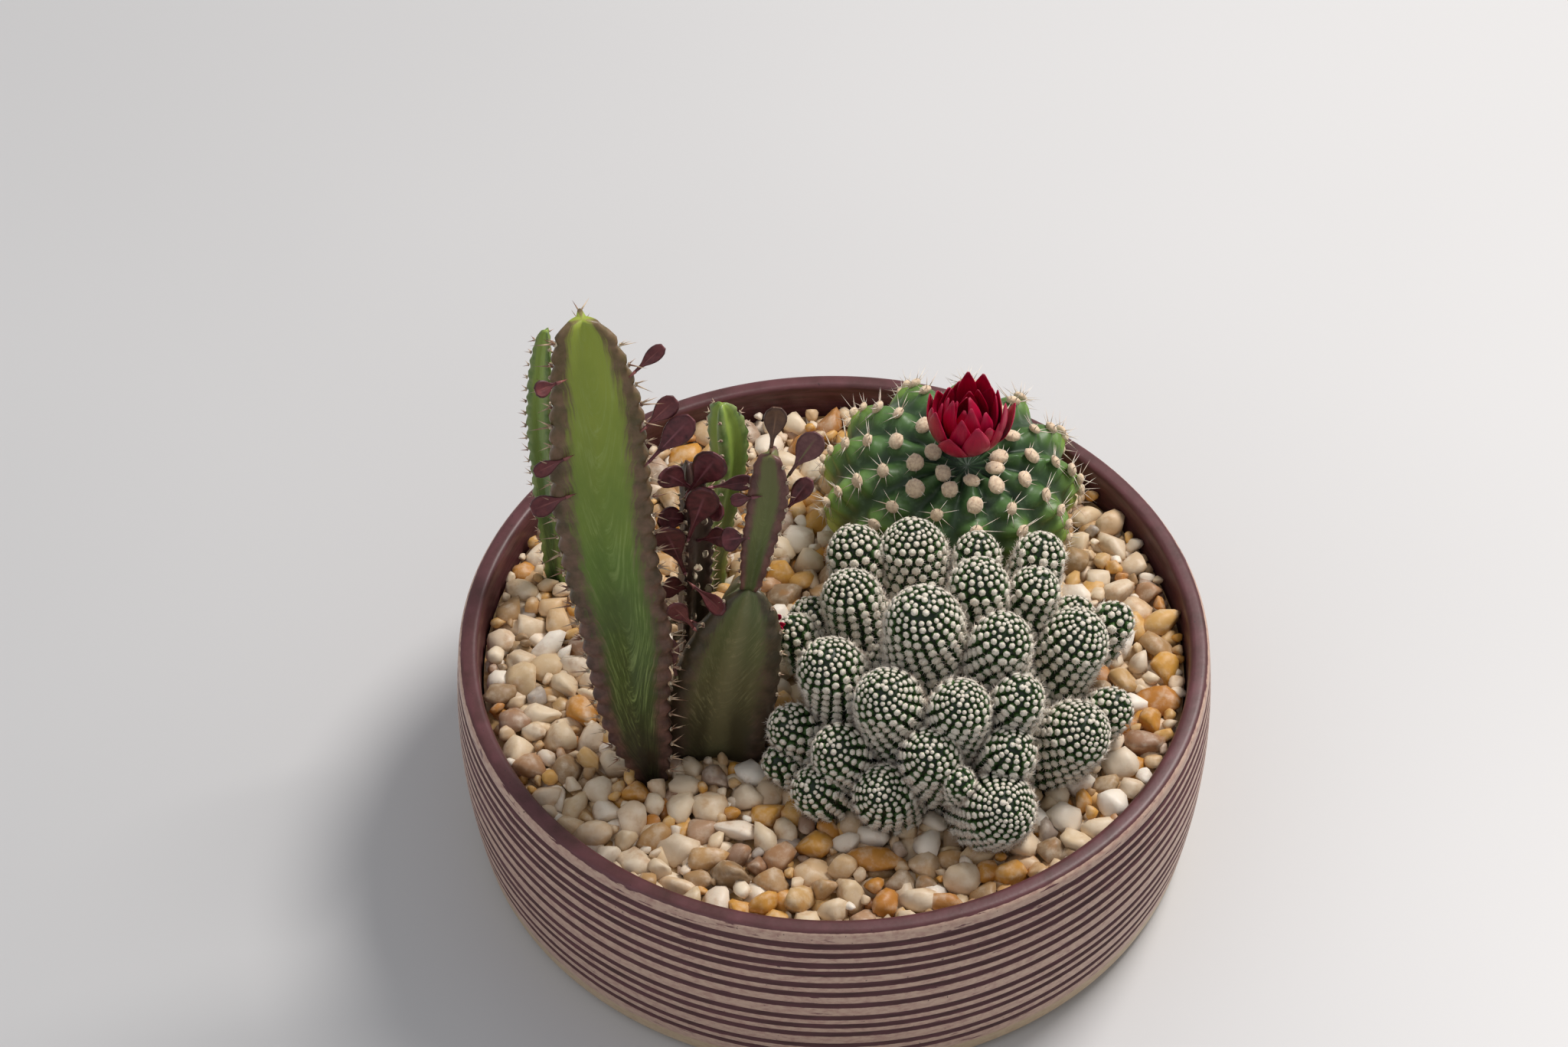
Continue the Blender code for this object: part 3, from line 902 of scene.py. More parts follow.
@dataclass
class GravelBed:
    """Washed gravel: two layers of loose stones over a filled bed, clear of the plants."""

    radius: float = 93.6
    level: float = 54.0
    under_level: float = 51.4
    upper: int = 1900
    lower: int = 820
    kinds: int = 9
    small: float = 1.35
    large: float = 4.9
    plant_gap: float = 0.7
    seed: int = 41
    # Stones that stand out, as x, y, half length, half width, turn in degrees and tone.
    special: tuple[tuple[float, float, float, float, float, float], ...] = (
        (11.6, -84.5, 4.7, 3.9, 55.0, 0.90),
        (9.5, -70.5, 9.2, 3.7, -8.0, 0.88),
        (-2.0, -86.0, 4.6, 4.2, 20.0, 0.16),
        (-41.0, -52.5, 6.3, 4.0, 70.0, 0.05),
        (31.0, -77.0, 5.6, 4.6, 10.0, 0.44),
        (20.0, -83.5, 5.6, 3.4, 0.0, 0.45),
        (-19.5, -83.5, 4.8, 3.6, 30.0, 0.84),
        (-52.0, -47.5, 4.6, 3.6, 10.0, 0.86),
        (-26.0, -60.0, 8.0, 3.0, -12.0, 0.30),
        (-62.0, -46.0, 4.4, 5.4, 20.0, 0.47),
    )

    def stone(self, rng: random.Random) -> Stamp:
        """A pebble of half length one: a ball with chipped flats and a slow swell."""
        bm = bmesh.new()
        bmesh.ops.create_icosphere(bm, subdivisions=2, radius=1.0)
        shift = Vector((rng.random(), rng.random(), rng.random())) * 50
        flats = []
        for _ in range(rng.randint(5, 9)):
            way = Vector((rng.uniform(-1, 1), rng.uniform(-1, 1), rng.uniform(-0.7, 1))).normalized()
            flats.append((way, rng.uniform(0.5, 0.82)))
        for vert in bm.verts:
            vert.co *= 1.0 + 0.34 * noise.noise(vert.co * 1.1 + shift)
            for way, limit in flats:
                over = vert.co.dot(way) - limit
                if over > 0:
                    vert.co -= way * over * 0.95
        return Stamp(bm)

    def plants(self) -> BVHTree:
        """All planted solids as one search tree."""
        points: list[Vector] = []
        faces: list[list[int]] = []
        for name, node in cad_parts.items():
            if name in ("pot", "potting_soil", "gravel_bed") or "leaf" in name or "petal" in name:
                continue
            start = len(points)
            points += [v.co.copy() for v in node.data.vertices]
            faces += [[start + i for i in p.vertices] for p in node.data.polygons]
        return BVHTree.FromPolygons(points, faces)

    def clear(self, tree: BVHTree, spot: Vector, reach: float) -> bool:
        """Whether a stone of this reach is clear of every plant.

        Args:
            tree: the plants.
            spot: the stone's middle, in metres.
            reach: room it needs, in metres.

        Returns:
            True where nothing is in the way.
        """
        found, normal, _, distance = tree.find_nearest(spot, 0.05)
        if found is None:
            return True
        return distance > reach and (spot - found).dot(normal) > 0

    def layer(self, name: str, count: int, level: float, tree: BVHTree, rng: random.Random, seat=()):
        """Scatters one layer of stones, large ones first.

        Args:
            name: the piece's name.
            count: how many stones.
            level: height of their middles.
            tree: the plants.
            rng: the random source.
            seat: stones that are already placed, as listed.

        Returns:
            The piece, not finished.
        """
        piece = Piece(name, (STONE,))
        stamps = [self.stone(rng) for _ in range(self.kinds)]
        placed = np.zeros((count + len(seat), 3))
        total = 0
        for x, y, half, wide, turn, tone in seat:
            placed[total] = (x, y, (half + wide) * 0.45)
            total += 1
            spot = mm(x, y, level + 0.5)
            size = Matrix.Diagonal((half * MM, wide * MM, min(half, wide) * 0.8 * MM, 1.0))
            spin = Matrix.Rotation(math.radians(turn), 4, "Z")
            piece.press(rng.choice(stamps), Matrix.Translation(spot) @ spin @ size, tone=tone)
        sizes = sorted((self.small + (self.large - self.small) * rng.random() ** 1.5 for _ in range(count)),
                       reverse=True)  # fmt: skip
        for half in sizes:
            for _ in range(60):
                reach = (self.radius - half * 0.95) * math.sqrt(rng.random())
                angle = rng.uniform(0, 2 * math.pi)
                x, y = reach * math.cos(angle), reach * math.sin(angle)
                near = np.hypot(placed[:total, 0] - x, placed[:total, 1] - y)
                if total and np.any(near < (placed[:total, 2] + half) * 0.80):
                    continue
                height = level + rng.uniform(-0.7, 0.9) - (half - 2.6) * 0.25
                spot = mm(x, y, height)
                if not self.clear(tree, spot, (half * 0.75 + self.plant_gap) * MM):
                    continue
                placed[total] = (x, y, half)
                total += 1
                lean = basis(Vector((rng.gauss(0, 0.3), rng.gauss(0, 0.3), 1.0)), rng.uniform(0, 6.283))
                shape = (half * rng.uniform(1.05, 1.5), half * rng.uniform(0.85, 1.1), half * rng.uniform(0.7, 0.95))
                size = Matrix.Diagonal((shape[0] * MM, shape[1] * MM, shape[2] * MM, 1.0))
                piece.press(rng.choice(stamps), Matrix.Translation(spot) @ lean @ size,
                            tone=rng.random())  # fmt: skip
                break
        return piece

    def build(self) -> list[bpy.types.Object]:
        """Lays the filled bed, the lower stones and the upper stones."""
        rng = random.Random(self.seed)
        tree = self.plants()
        lower = self.layer("gravel_lower", self.lower, self.under_level, tree, rng)
        upper = self.layer("gravel_upper", self.upper, self.level, tree, rng, self.special)
        return [lower.finish((), "gravel"), upper.finish(("gravel_bed",), "gravel"), self.bed()]

    def bed(self) -> bpy.types.Object:
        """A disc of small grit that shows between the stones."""
        piece = Piece("gravel_grit", (STONE,))
        bm = piece.bm
        made = bmesh.ops.create_circle(bm, cap_ends=True, radius=self.radius * MM, segments=96)
        bmesh.ops.extrude_face_region(bm, geom=list(bm.faces))
        raised = [v for v in bm.verts if v not in made["verts"]]
        bmesh.ops.translate(bm, vec=mm(0, 0, 3.6), verts=raised)
        bmesh.ops.translate(bm, vec=mm(0, 0, 47.2), verts=bm.verts)
        bmesh.ops.recalc_face_normals(bm, faces=bm.faces)
        piece.note(tone=0.7)
        return piece.finish((), "gravel")


# ---------------------------------------------------------------- clustering cactus


@dataclass
class HeadForm:
    """Where one head of the cluster stands, read from its solid. Metres."""

    name: str
    tip: Vector
    axis: Vector
    radius: float
    centre: Vector
    root: Vector

    @classmethod
    def read(cls, name: str, dome: float) -> "HeadForm":
        """Finds the head's poles and girth from its solid.

        Args:
            name: CAD node.
            dome: height of the dome over its radius.

        Returns:
            The head's form.
        """
        points = np.array([v.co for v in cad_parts[name].data.vertices], float)
        span = np.linalg.norm(points[:, None] - points[None], axis=2)
        first, second = np.unravel_index(int(span.argmax()), span.shape)
        tip, root = sorted((Vector(points[first]), Vector(points[second])), key=lambda p: -p.z)
        axis = (tip - root).normalized()
        off = points - np.array(root)
        line = np.outer(off @ np.array(axis), np.array(axis))
        radius = float(np.linalg.norm(off - line, axis=1).max())
        return cls(name, tip, axis, radius, tip - axis * radius * dome, root)


@dataclass
class ClusterCactus:
    """The clustering cactus: heads set with spiral rows of tubercles, wool and short spines."""

    dome: float = 1.22
    spacing: float = 2.9
    crown_share: float = 0.44
    tubercle_height: float = 1.15
    wool_radius: float = 1.27
    spine_radius: float = 0.1
    flank_reach: float = 2.3
    gravel_level: float = 54.6
    spines: int = 12
    seed: int = 7

    def unit(self, rng: random.Random, flank: bool) -> Stamp:
        """One tubercle in millimetres with its wool cap and radial spines.

        Args:
            rng: the random source.
            flank: whether it is one of the longer spined ones on the sides.

        Returns:
            The stamp; materials are skin, wool and spine.
        """
        bm = bmesh.new()
        turned = Matrix.Translation((0, 0, self.tubercle_height / 2 - 0.15))
        bmesh.ops.create_cone(
            bm,
            cap_ends=True,
            segments=7,
            radius1=self.spacing * 0.47,
            radius2=self.wool_radius * 0.72,
            depth=self.tubercle_height + 0.3,
            matrix=turned,
        )
        top = self.tubercle_height
        pad(bm, Vector((0, 0, top)), self.wool_radius, 0.5, 1)
        for i in range(self.spines):
            turn = (i + rng.uniform(-0.25, 0.25)) / self.spines * 2 * math.pi
            rise = rng.uniform(0.3, 1.1) if flank else rng.uniform(0.2, 0.7)
            length = rng.uniform(1.6, 2.3) if flank else rng.uniform(1.15, 1.5)
            way = Vector((math.cos(turn), math.sin(turn), rise))
            foot = Vector((math.cos(turn) * 0.2, math.sin(turn) * 0.2, top + 0.1))
            needle(bm, foot, way, length, self.spine_radius, 3, 2, 0.12)
        return Stamp(bm)

    def profile(self, form: HeadForm) -> list[tuple[float, float]]:
        """Radius and distance along the axis from the tip, in millimetres."""
        radius, rise = form.radius / MM, form.radius / MM * self.dome
        points = []
        for i in range(13):
            turn = i / 12 * math.pi / 2
            points.append((radius * math.sin(turn), rise * (1 - math.cos(turn))))
        flank = radius * self.flank_reach
        for i in range(1, 9):
            t = i / 8
            points.append((radius * (1 + 0.20 * t), rise + flank * t))
        points.append((0.0, rise + flank + radius * 0.5))
        return points

    def body(self, piece: Piece, form: HeadForm) -> None:
        """Spins the head's body, which the skin paints near black as painted gap shade.

        Args:
            piece: the piece it goes into.
            form: the head.
        """
        bm = bmesh.new()
        ring = [bm.verts.new((r, 0.0, -d)) for r, d in self.profile(form)]
        edges = [bm.edges.new(pair) for pair in zip(ring, ring[1:])]
        bmesh.ops.spin(bm, geom=ring + edges, cent=(0, 0, 0), axis=(0, 0, 1), angle=2 * math.pi,
                       steps=18, use_merge=True)  # fmt: skip
        bmesh.ops.remove_doubles(bm, verts=bm.verts, dist=0.01)
        stamp = Stamp(bm)
        # A rise of 0 gives the body the skin's painted gap shade.
        piece.press(stamp, Matrix.Translation(form.tip) @ basis(form.axis) @ Matrix.Scale(MM, 4), rise=0.0)

    def buried(self, spot: Vector, form: HeadForm, heads: list[HeadForm]) -> bool:
        """Whether a tubercle here is under the gravel or deep inside another head."""
        if spot.z < self.gravel_level * MM - 0.0006:
            return True
        for other in heads:
            if other is form:
                continue
            off = spot - other.centre
            along = off.dot(other.axis)
            if -other.radius * self.flank_reach < along <= 0:
                inside = (off - other.axis * along).length < other.radius * 0.9 - 0.0007
            elif along > 0:
                side = (off - other.axis * along).length
                inside = math.hypot(side, along / self.dome) < other.radius - 0.0009
            else:
                inside = False
            if inside:
                return True
        return False

    def dress(self, piece: Piece, form: HeadForm, heads: list[HeadForm], stamps, rng) -> None:
        """Sets the tubercles in rows that run down from the crown with a slight twist.

        Args:
            piece: the piece they go into.
            form: the head.
            heads: all heads.
            stamps: crown units and flank units.
            rng: the random source.
        """
        points = self.profile(form)[:-1]
        radius = form.radius / MM
        turned = basis(form.axis)
        lengths = [0.0]
        for (r0, d0), (r1, d1) in zip(points, points[1:]):
            lengths.append(lengths[-1] + math.hypot(r1 - r0, d1 - d0))
        rows = max(9, round(2 * math.pi * radius * 1.04 / self.spacing))
        start, twist = rng.uniform(0, 6.283), rng.choice((-1.0, 1.0)) * rng.uniform(0.1, 0.5)
        widths, depths = [p[0] for p in points], [p[1] for p in points]
        spots, reach, ring = [(0.0, 0.0, self.crown_share)], 0.95, 0
        while reach < lengths[-1]:
            girth = 2 * math.pi * float(np.interp(reach, lengths, widths))
            many = rows
            while girth / many < self.spacing * self.crown_share:
                many = math.ceil(many / 2)
            grow = min(1.0, max(self.crown_share, girth / many / self.spacing))
            for row in range(many):
                turn = start + twist * ring / rows * 6.283 + (row + 0.5 * (ring % 2)) / many * 6.283
                drift = noise.noise(Vector((turn * 1.3, reach * 0.3, start))) * 0.5 / max(girth / 6.283, 1.0)
                spots.append((reach + rng.uniform(-0.22, 0.22) * grow, turn + drift, grow))
            reach += self.spacing * grow * 0.9
            ring += 1
        for reach, turn, grow in spots:
            r, d = float(np.interp(reach, lengths, widths)), float(np.interp(reach, lengths, depths))
            ahead = min(reach + 0.4, lengths[-1])
            slope_r = float(np.interp(ahead, lengths, widths)) - r
            slope_d = float(np.interp(ahead, lengths, depths)) - d
            flat = Vector((math.cos(turn), math.sin(turn), 0.0))
            normal = (flat * max(slope_d, 0.0) + UP * slope_r).normalized()
            local = flat * r - UP * d
            spot = form.tip + (turned @ local) * MM
            if self.buried(spot, form, heads):
                continue
            flank = reach > radius * 1.25
            kind = rng.choice(stamps[1] if flank else stamps[0])
            swell = max(grow, 0.52) * rng.uniform(0.9, 1.08) * (1.08 if flank else 1.0)
            outward = (turned.to_3x3() @ normal).normalized()
            place = Matrix.Translation(spot) @ basis(outward, rng.uniform(0, 6.283))
            piece.press(kind, place @ Matrix.Scale(swell * MM, 4), rise=0.62)

    def cover(self, heads: list[HeadForm], stamps: list[Stamp], rng: random.Random) -> bpy.types.Object:
        """Sets tubercles on the old base between and behind the heads.

        Args:
            heads: all heads.
            stamps: the units to use.
            rng: the random source.

        Returns:
            The piece.
        """
        piece = Piece("cluster_base_tubercles", (HEAD_SKIN, HEAD_WOOL, HEAD_SPINE))
        low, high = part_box("cluster_core")
        half = Vector(((high.x - low.x) / 2, (high.y - low.y) / 2, high.z - 46.0 * MM))
        centre = Vector(((low.x + high.x) / 2, (low.y + high.y) / 2, 46.0 * MM))
        count = int(2 * math.pi * half.x * half.y / (self.spacing * MM) ** 2 * 1.35)
        for index in range(count):
            level = 1 - (index + 0.5) / count
            turn = index * math.pi * (3 - math.sqrt(5))
            wide = math.sqrt(1 - level * level)
            way = Vector((wide * math.cos(turn), wide * math.sin(turn), level))
            spot = centre + Vector((way.x * half.x, way.y * half.y, way.z * half.z))
            if self.buried(spot, None, heads):
                continue
            outward = Vector((way.x / half.x, way.y / half.y, way.z / half.z)).normalized()
            place = Matrix.Translation(spot) @ basis(outward, rng.uniform(0, 6.283))
            piece.press(rng.choice(stamps), place @ Matrix.Scale(rng.uniform(0.85, 1.1) * MM, 4), rise=0.62)
        return piece.finish((), "cluster_heads")

    def build(self) -> list[bpy.types.Object]:
        """Builds every head and gives the core between them the skin's near-black painted shade."""
        rng = random.Random(self.seed)
        names = sorted(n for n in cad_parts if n.startswith("cluster_head_"))
        heads = [HeadForm.read(name, self.dome) for name in names]
        stamps = (
            [self.unit(rng, False) for _ in range(4)],
            [self.unit(rng, True) for _ in range(5)],
        )
        made = []
        for form in heads:
            piece = Piece(form.name.replace("cluster_head", "head"), (HEAD_SKIN, HEAD_WOOL, HEAD_SPINE))
            self.body(piece, form)
            self.dress(piece, form, heads, stamps, rng)
            made.append(piece.finish((form.name,), "cluster_heads"))
        made.append(self.cover(heads, stamps[1], rng))
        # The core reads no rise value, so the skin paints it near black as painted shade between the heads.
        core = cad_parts["cluster_core"]
        core.data.materials.clear()
        core.data.materials.append(HEAD_SKIN.make())
        return made


# ---------------------------------------------------------------- ball cactus


@dataclass
class BallCactus:
    """The ribbed ball cactus with woolly areoles and spreading spines."""

    ribs: int = 13
    rise: float = 20.3
    drop: float = 26.0
    rib_depth: float = 4.4
    bump: float = 1.7
    columns: int = 195
    rows: int = 72
    first: float = 0.22
    pitch: float = 9.2
    tiers: int = 6
    spine_length: float = 7.6
    spine_radius: float = 0.2
    seed: int = 19
    tilt: Matrix = field(default_factory=lambda: Matrix.Identity(3))

    def tier_reach(self, tier: float) -> float:
        """Polar angle in radians of an areole tier; the crown's tiers are closer."""
        return self.first + 0.245 * tier + 0.006 * tier * tier

    def swell(self, turn: float, polar: float) -> float:
        """How far up a tubercle this direction is, 0 in a furrow and 1 at its top."""
        phase = turn * self.ribs
        ridge = (0.5 + 0.5 * math.cos(phase)) ** 0.8
        rib = int(round(turn / (2 * math.pi) * self.ribs))
        tier = (polar - self.first) / 0.265 + 0.5 * (rib % 2)
        knob = 0.5 + 0.5 * math.cos(2 * math.pi * tier)
        fade = smooth_step(0.10, 0.5, polar)
        return ridge * (1 - fade * 0.62 * (1 - knob)) * smooth_step(0.0, 0.35, polar)

    def surface(self, turn: float, polar: float, centre: Vector, radius: float) -> Vector:
        """A point of the skin in metres.

        Args:
            turn: angle about the axis.
            polar: angle from the crown.
            centre: the ball's centre.
            radius: its radius.

        Returns:
            The point.
        """
        flat = Vector((math.sin(polar) * math.cos(turn), math.sin(polar) * math.sin(turn), math.cos(polar)))
        way = self.tilt @ flat
        height = self.rise if way.z > 0 else self.drop
        wide = math.hypot(way.x, way.y)
        ease = wide**0.86 / max(wide, 1e-6)
        relief = self.rib_depth * (self.swell(turn, polar) - 1.0) * MM
        dip = 2.2 * MM * (1 - smooth_step(0.0, 0.42, polar))
        out = radius * ease + relief
        return centre + Vector((way.x * out, way.y * out, height * MM * way.z + relief * abs(way.z) * 0.8 - dip))

    def areole(self, rng: random.Random, crown: bool) -> Stamp:
        """An areole in millimetres: a wool pad and its spines.

        Args:
            rng: the random source.
            crown: whether it is one of the larger young ones with short spines.

        Returns:
            The stamp; materials are wool and spine.
        """
        bm = bmesh.new()
        wide = 2.6 if crown else 1.9
        pad(bm, Vector((0, 0, 0.2)), wide, wide * 0.62, 0, 2)
        for vert in bm.verts:
            vert.co *= 1.0 + 0.16 * noise.noise(vert.co * 1.7 + Vector((rng.random() * 9, 0, 0)))
        count = 6 if crown else 8
        for i in range(count):
            turn = (i + rng.uniform(-0.2, 0.2)) / count * 2 * math.pi
            rise = rng.uniform(0.9, 1.8) if crown else rng.uniform(0.6, 1.1)
            length = self.spine_length * (rng.uniform(0.35, 0.6) if crown else rng.uniform(0.75, 1.1))
            way = Vector((math.cos(turn), math.sin(turn), rise))
            foot = Vector((math.cos(turn), math.sin(turn), 0.0)) * wide * 0.4
            needle(bm, foot, way, length, self.spine_radius, 4, 1, 0.05 if crown else 0.3)
        return Stamp(bm)

    def build(self) -> list[bpy.types.Object]:
        """Shapes the ribbed body and sets the areoles."""
        rng = random.Random(self.seed)
        low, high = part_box("ball_cactus_body")
        radius = (high.x - low.x) / 2
        centre = Vector(((low.x + high.x) / 2, (low.y + high.y) / 2, high.z - self.rise * MM))
        cup_low, cup_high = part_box("flower_cup")
        lean = ((cup_low + cup_high) / 2 - centre) / radius
        lean.z = math.sqrt(1 - lean.x**2 - lean.y**2)
        self.tilt = basis(lean).to_3x3()
        piece = Piece("ball_body", (BALL_SKIN,))
        bm = piece.bm
        bmesh.ops.create_uvsphere(bm, u_segments=self.columns, v_segments=self.rows, radius=1.0)
        rise, along = [], []
        for vert in bm.verts:
            polar = math.acos(max(-1.0, min(1.0, vert.co.z)))
            turn = math.atan2(vert.co.y, vert.co.x) % (2 * math.pi)
            rise.append(self.swell(turn, polar))
            along.append(polar / math.pi * 1.45)
            vert.co = self.surface(turn, polar, centre, radius)
        for face in bm.faces:
            face.smooth = True
        bmesh.ops.recalc_face_normals(bm, faces=bm.faces)
        piece.values = {Coat.RISE: rise, Coat.ALONG: along}
        body = piece.finish(("ball_cactus_body",), "ball_cactus")
        coats = Piece("ball_areoles", (BALL_WOOL, HEAD_SPINE))
        crown = [self.areole(rng, True) for _ in range(3)]
        outer = [self.areole(rng, False) for _ in range(4)]
        for rib in range(self.ribs):
            turn = rib / self.ribs * 2 * math.pi
            for tier in range(self.tiers + 1):
                polar = self.first + 0.265 * (tier - 0.5 * (rib % 2))
                if polar < 0.15 or polar > 1.95:
                    continue
                spot = self.surface(turn, polar, centre, radius)
                ahead = self.surface(turn, polar + 0.05, centre, radius)
                side = self.surface(turn + 0.05, polar, centre, radius)
                normal = (ahead - spot).cross(side - spot).normalized()
                young = tier < 2
                grow = rng.uniform(0.9, 1.1) * (1.0 if tier < 4 else 0.85)
                place = Matrix.Translation(spot) @ basis(normal, rng.uniform(0, 6.283))
                coats.press(rng.choice(crown if young else outer), place @ Matrix.Scale(grow * MM, 4))
        return [body, coats.finish((), "ball_cactus")]


# ---------------------------------------------------------------- blades


@dataclass(frozen=True)
class BladeForm:
    """A thin blade such as a leaf or petal, from base to tip, in millimetres."""

    outline: tuple[float, ...]
    thickness: float
    cup: float
    bow: float
    columns: int = 8
    rows: int = 14
    crease: float = 0.0

    def press(
        self, piece: Piece, base: Vector, tip: Vector, width: float, facing: Vector, tone: float = 0.0
    ) -> None:
        """Adds one closed blade to a piece.

        Args:
            piece: the piece it goes into.
            base: foot of the blade, in millimetres.
            tip: end of the blade.
            width: full width.
            facing: where its upper side looks.
            tone: tone value for its colour.
        """
        run = tip - base
        length = run.length
        along = run.normalized()
        side = along.cross(facing).normalized()
        normal = side.cross(along).normalized()
        bm = bmesh.new()
        bmesh.ops.create_grid(bm, x_segments=self.columns, y_segments=self.rows, size=0.5)
        places = np.linspace(0, 1, len(self.outline))
        for vert in bm.verts:
            u, v = vert.co.x * 2, vert.co.y + 0.5
            half = float(np.interp(v, places, self.outline)) * width / 2
            lift = self.bow * length * math.sin(math.pi * v) + self.cup * half * u * u
            lift -= self.crease * (1 - min(1.0, abs(u) * 4)) * math.sin(math.pi * min(1, v * 1.05))
            spot = base + along * (length * v) + side * (half * u) + normal * lift
            vert.co = spot
        bm.verts.ensure_lookup_table()
        flat = [(v.co.copy()) for v in bm.verts]
        bmesh.ops.recalc_face_normals(bm, faces=bm.faces)
        bmesh.ops.solidify(bm, geom=list(bm.faces), thickness=self.thickness)
        bmesh.ops.recalc_face_normals(bm, faces=bm.faces)
        across, ran = [], []
        for vert in bm.verts:
            off = vert.co - base
            v = min(1.0, max(0.0, off.dot(along) / length))
            half = max(0.05, float(np.interp(v, places, self.outline)) * width / 2)
            across.append(min(1.0, abs(off.dot(side)) / half))
            ran.append(v)
        del flat
        stamp = Stamp(bm)
        stamp.press(piece.bm, Matrix.Scale(MM, 4))
        piece.values.setdefault(Coat.ACROSS, []).extend(across)
        piece.values.setdefault(Coat.ALONG, []).extend(ran)
        piece.values.setdefault(Coat.TONE, []).extend([tone] * len(across))


PETAL_BLADE = BladeForm((0.4, 0.62, 0.84, 0.98, 1.0, 0.93, 0.74, 0.44, 0.08), 0.28, 0.28, -0.16, 6, 12)
LEAF_BLADE = BladeForm(
    (0.13, 0.12, 0.16, 0.34, 0.64, 0.88, 1.0, 0.99, 0.84, 0.38), 0.55, 0.16, -0.05, 8, 18, 0.25
)


@dataclass
class Flower:
    """The crimson flower: three whorls of pointed petals that stand up as a cup."""

    # Each whorl: petals, lean in degrees, length, width, ring radius, turn.
    whorls: tuple[tuple[int, float, float, float, float, float], ...] = (
        (9, 24.0, 15.5, 7.6, 9.5, 0.0),
        (9, 17.0, 18.0, 7.4, 7.6, 0.35),
        (8, 8.0, 18.5, 6.4, 5.0, 0.8),
        (6, 0.0, 16.0, 5.2, 2.6, 0.2),
    )
    cup_height: float = 6.0
    seed: int = 5

    def build(self) -> bpy.types.Object:
        """Builds the petals over the cup."""
        rng = random.Random(self.seed)
        low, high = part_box("flower_cup")
        base = Vector(((low.x + high.x) / 2, (low.y + high.y) / 2, low.z)) / MM
        piece = Piece("flower_petals", (PETAL,))
        for count, lean, length, width, ring, start in self.whorls:
            for i in range(count):
                turn = start + (i + rng.uniform(-0.12, 0.12)) / count * 2 * math.pi
                tilt = math.radians(lean + rng.uniform(-8, 8))
                flat = Vector((math.cos(turn), math.sin(turn), 0))
                foot = base + flat * ring * 0.55 + UP * (self.cup_height * 0.35)
                way = flat * math.sin(tilt) + UP * math.cos(tilt)
                tall = length * rng.uniform(0.8, 1.08)
                # Each petal's random tone sets how much painted pink highlight it gets.
                PETAL_BLADE.press(piece, foot, foot + way * tall, width * rng.uniform(0.9, 1.1),
                                  flat * -1.0 + UP * 0.2, rng.random())  # fmt: skip
        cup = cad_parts["flower_cup"]
        cup.data.materials.clear()
        cup.data.materials.append(BALL_WOOL.make())
        nodes = tuple(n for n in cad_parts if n.startswith("flower_petal_"))
        return piece.finish(nodes, "flower_petals")


# ---------------------------------------------------------------- euphorbia


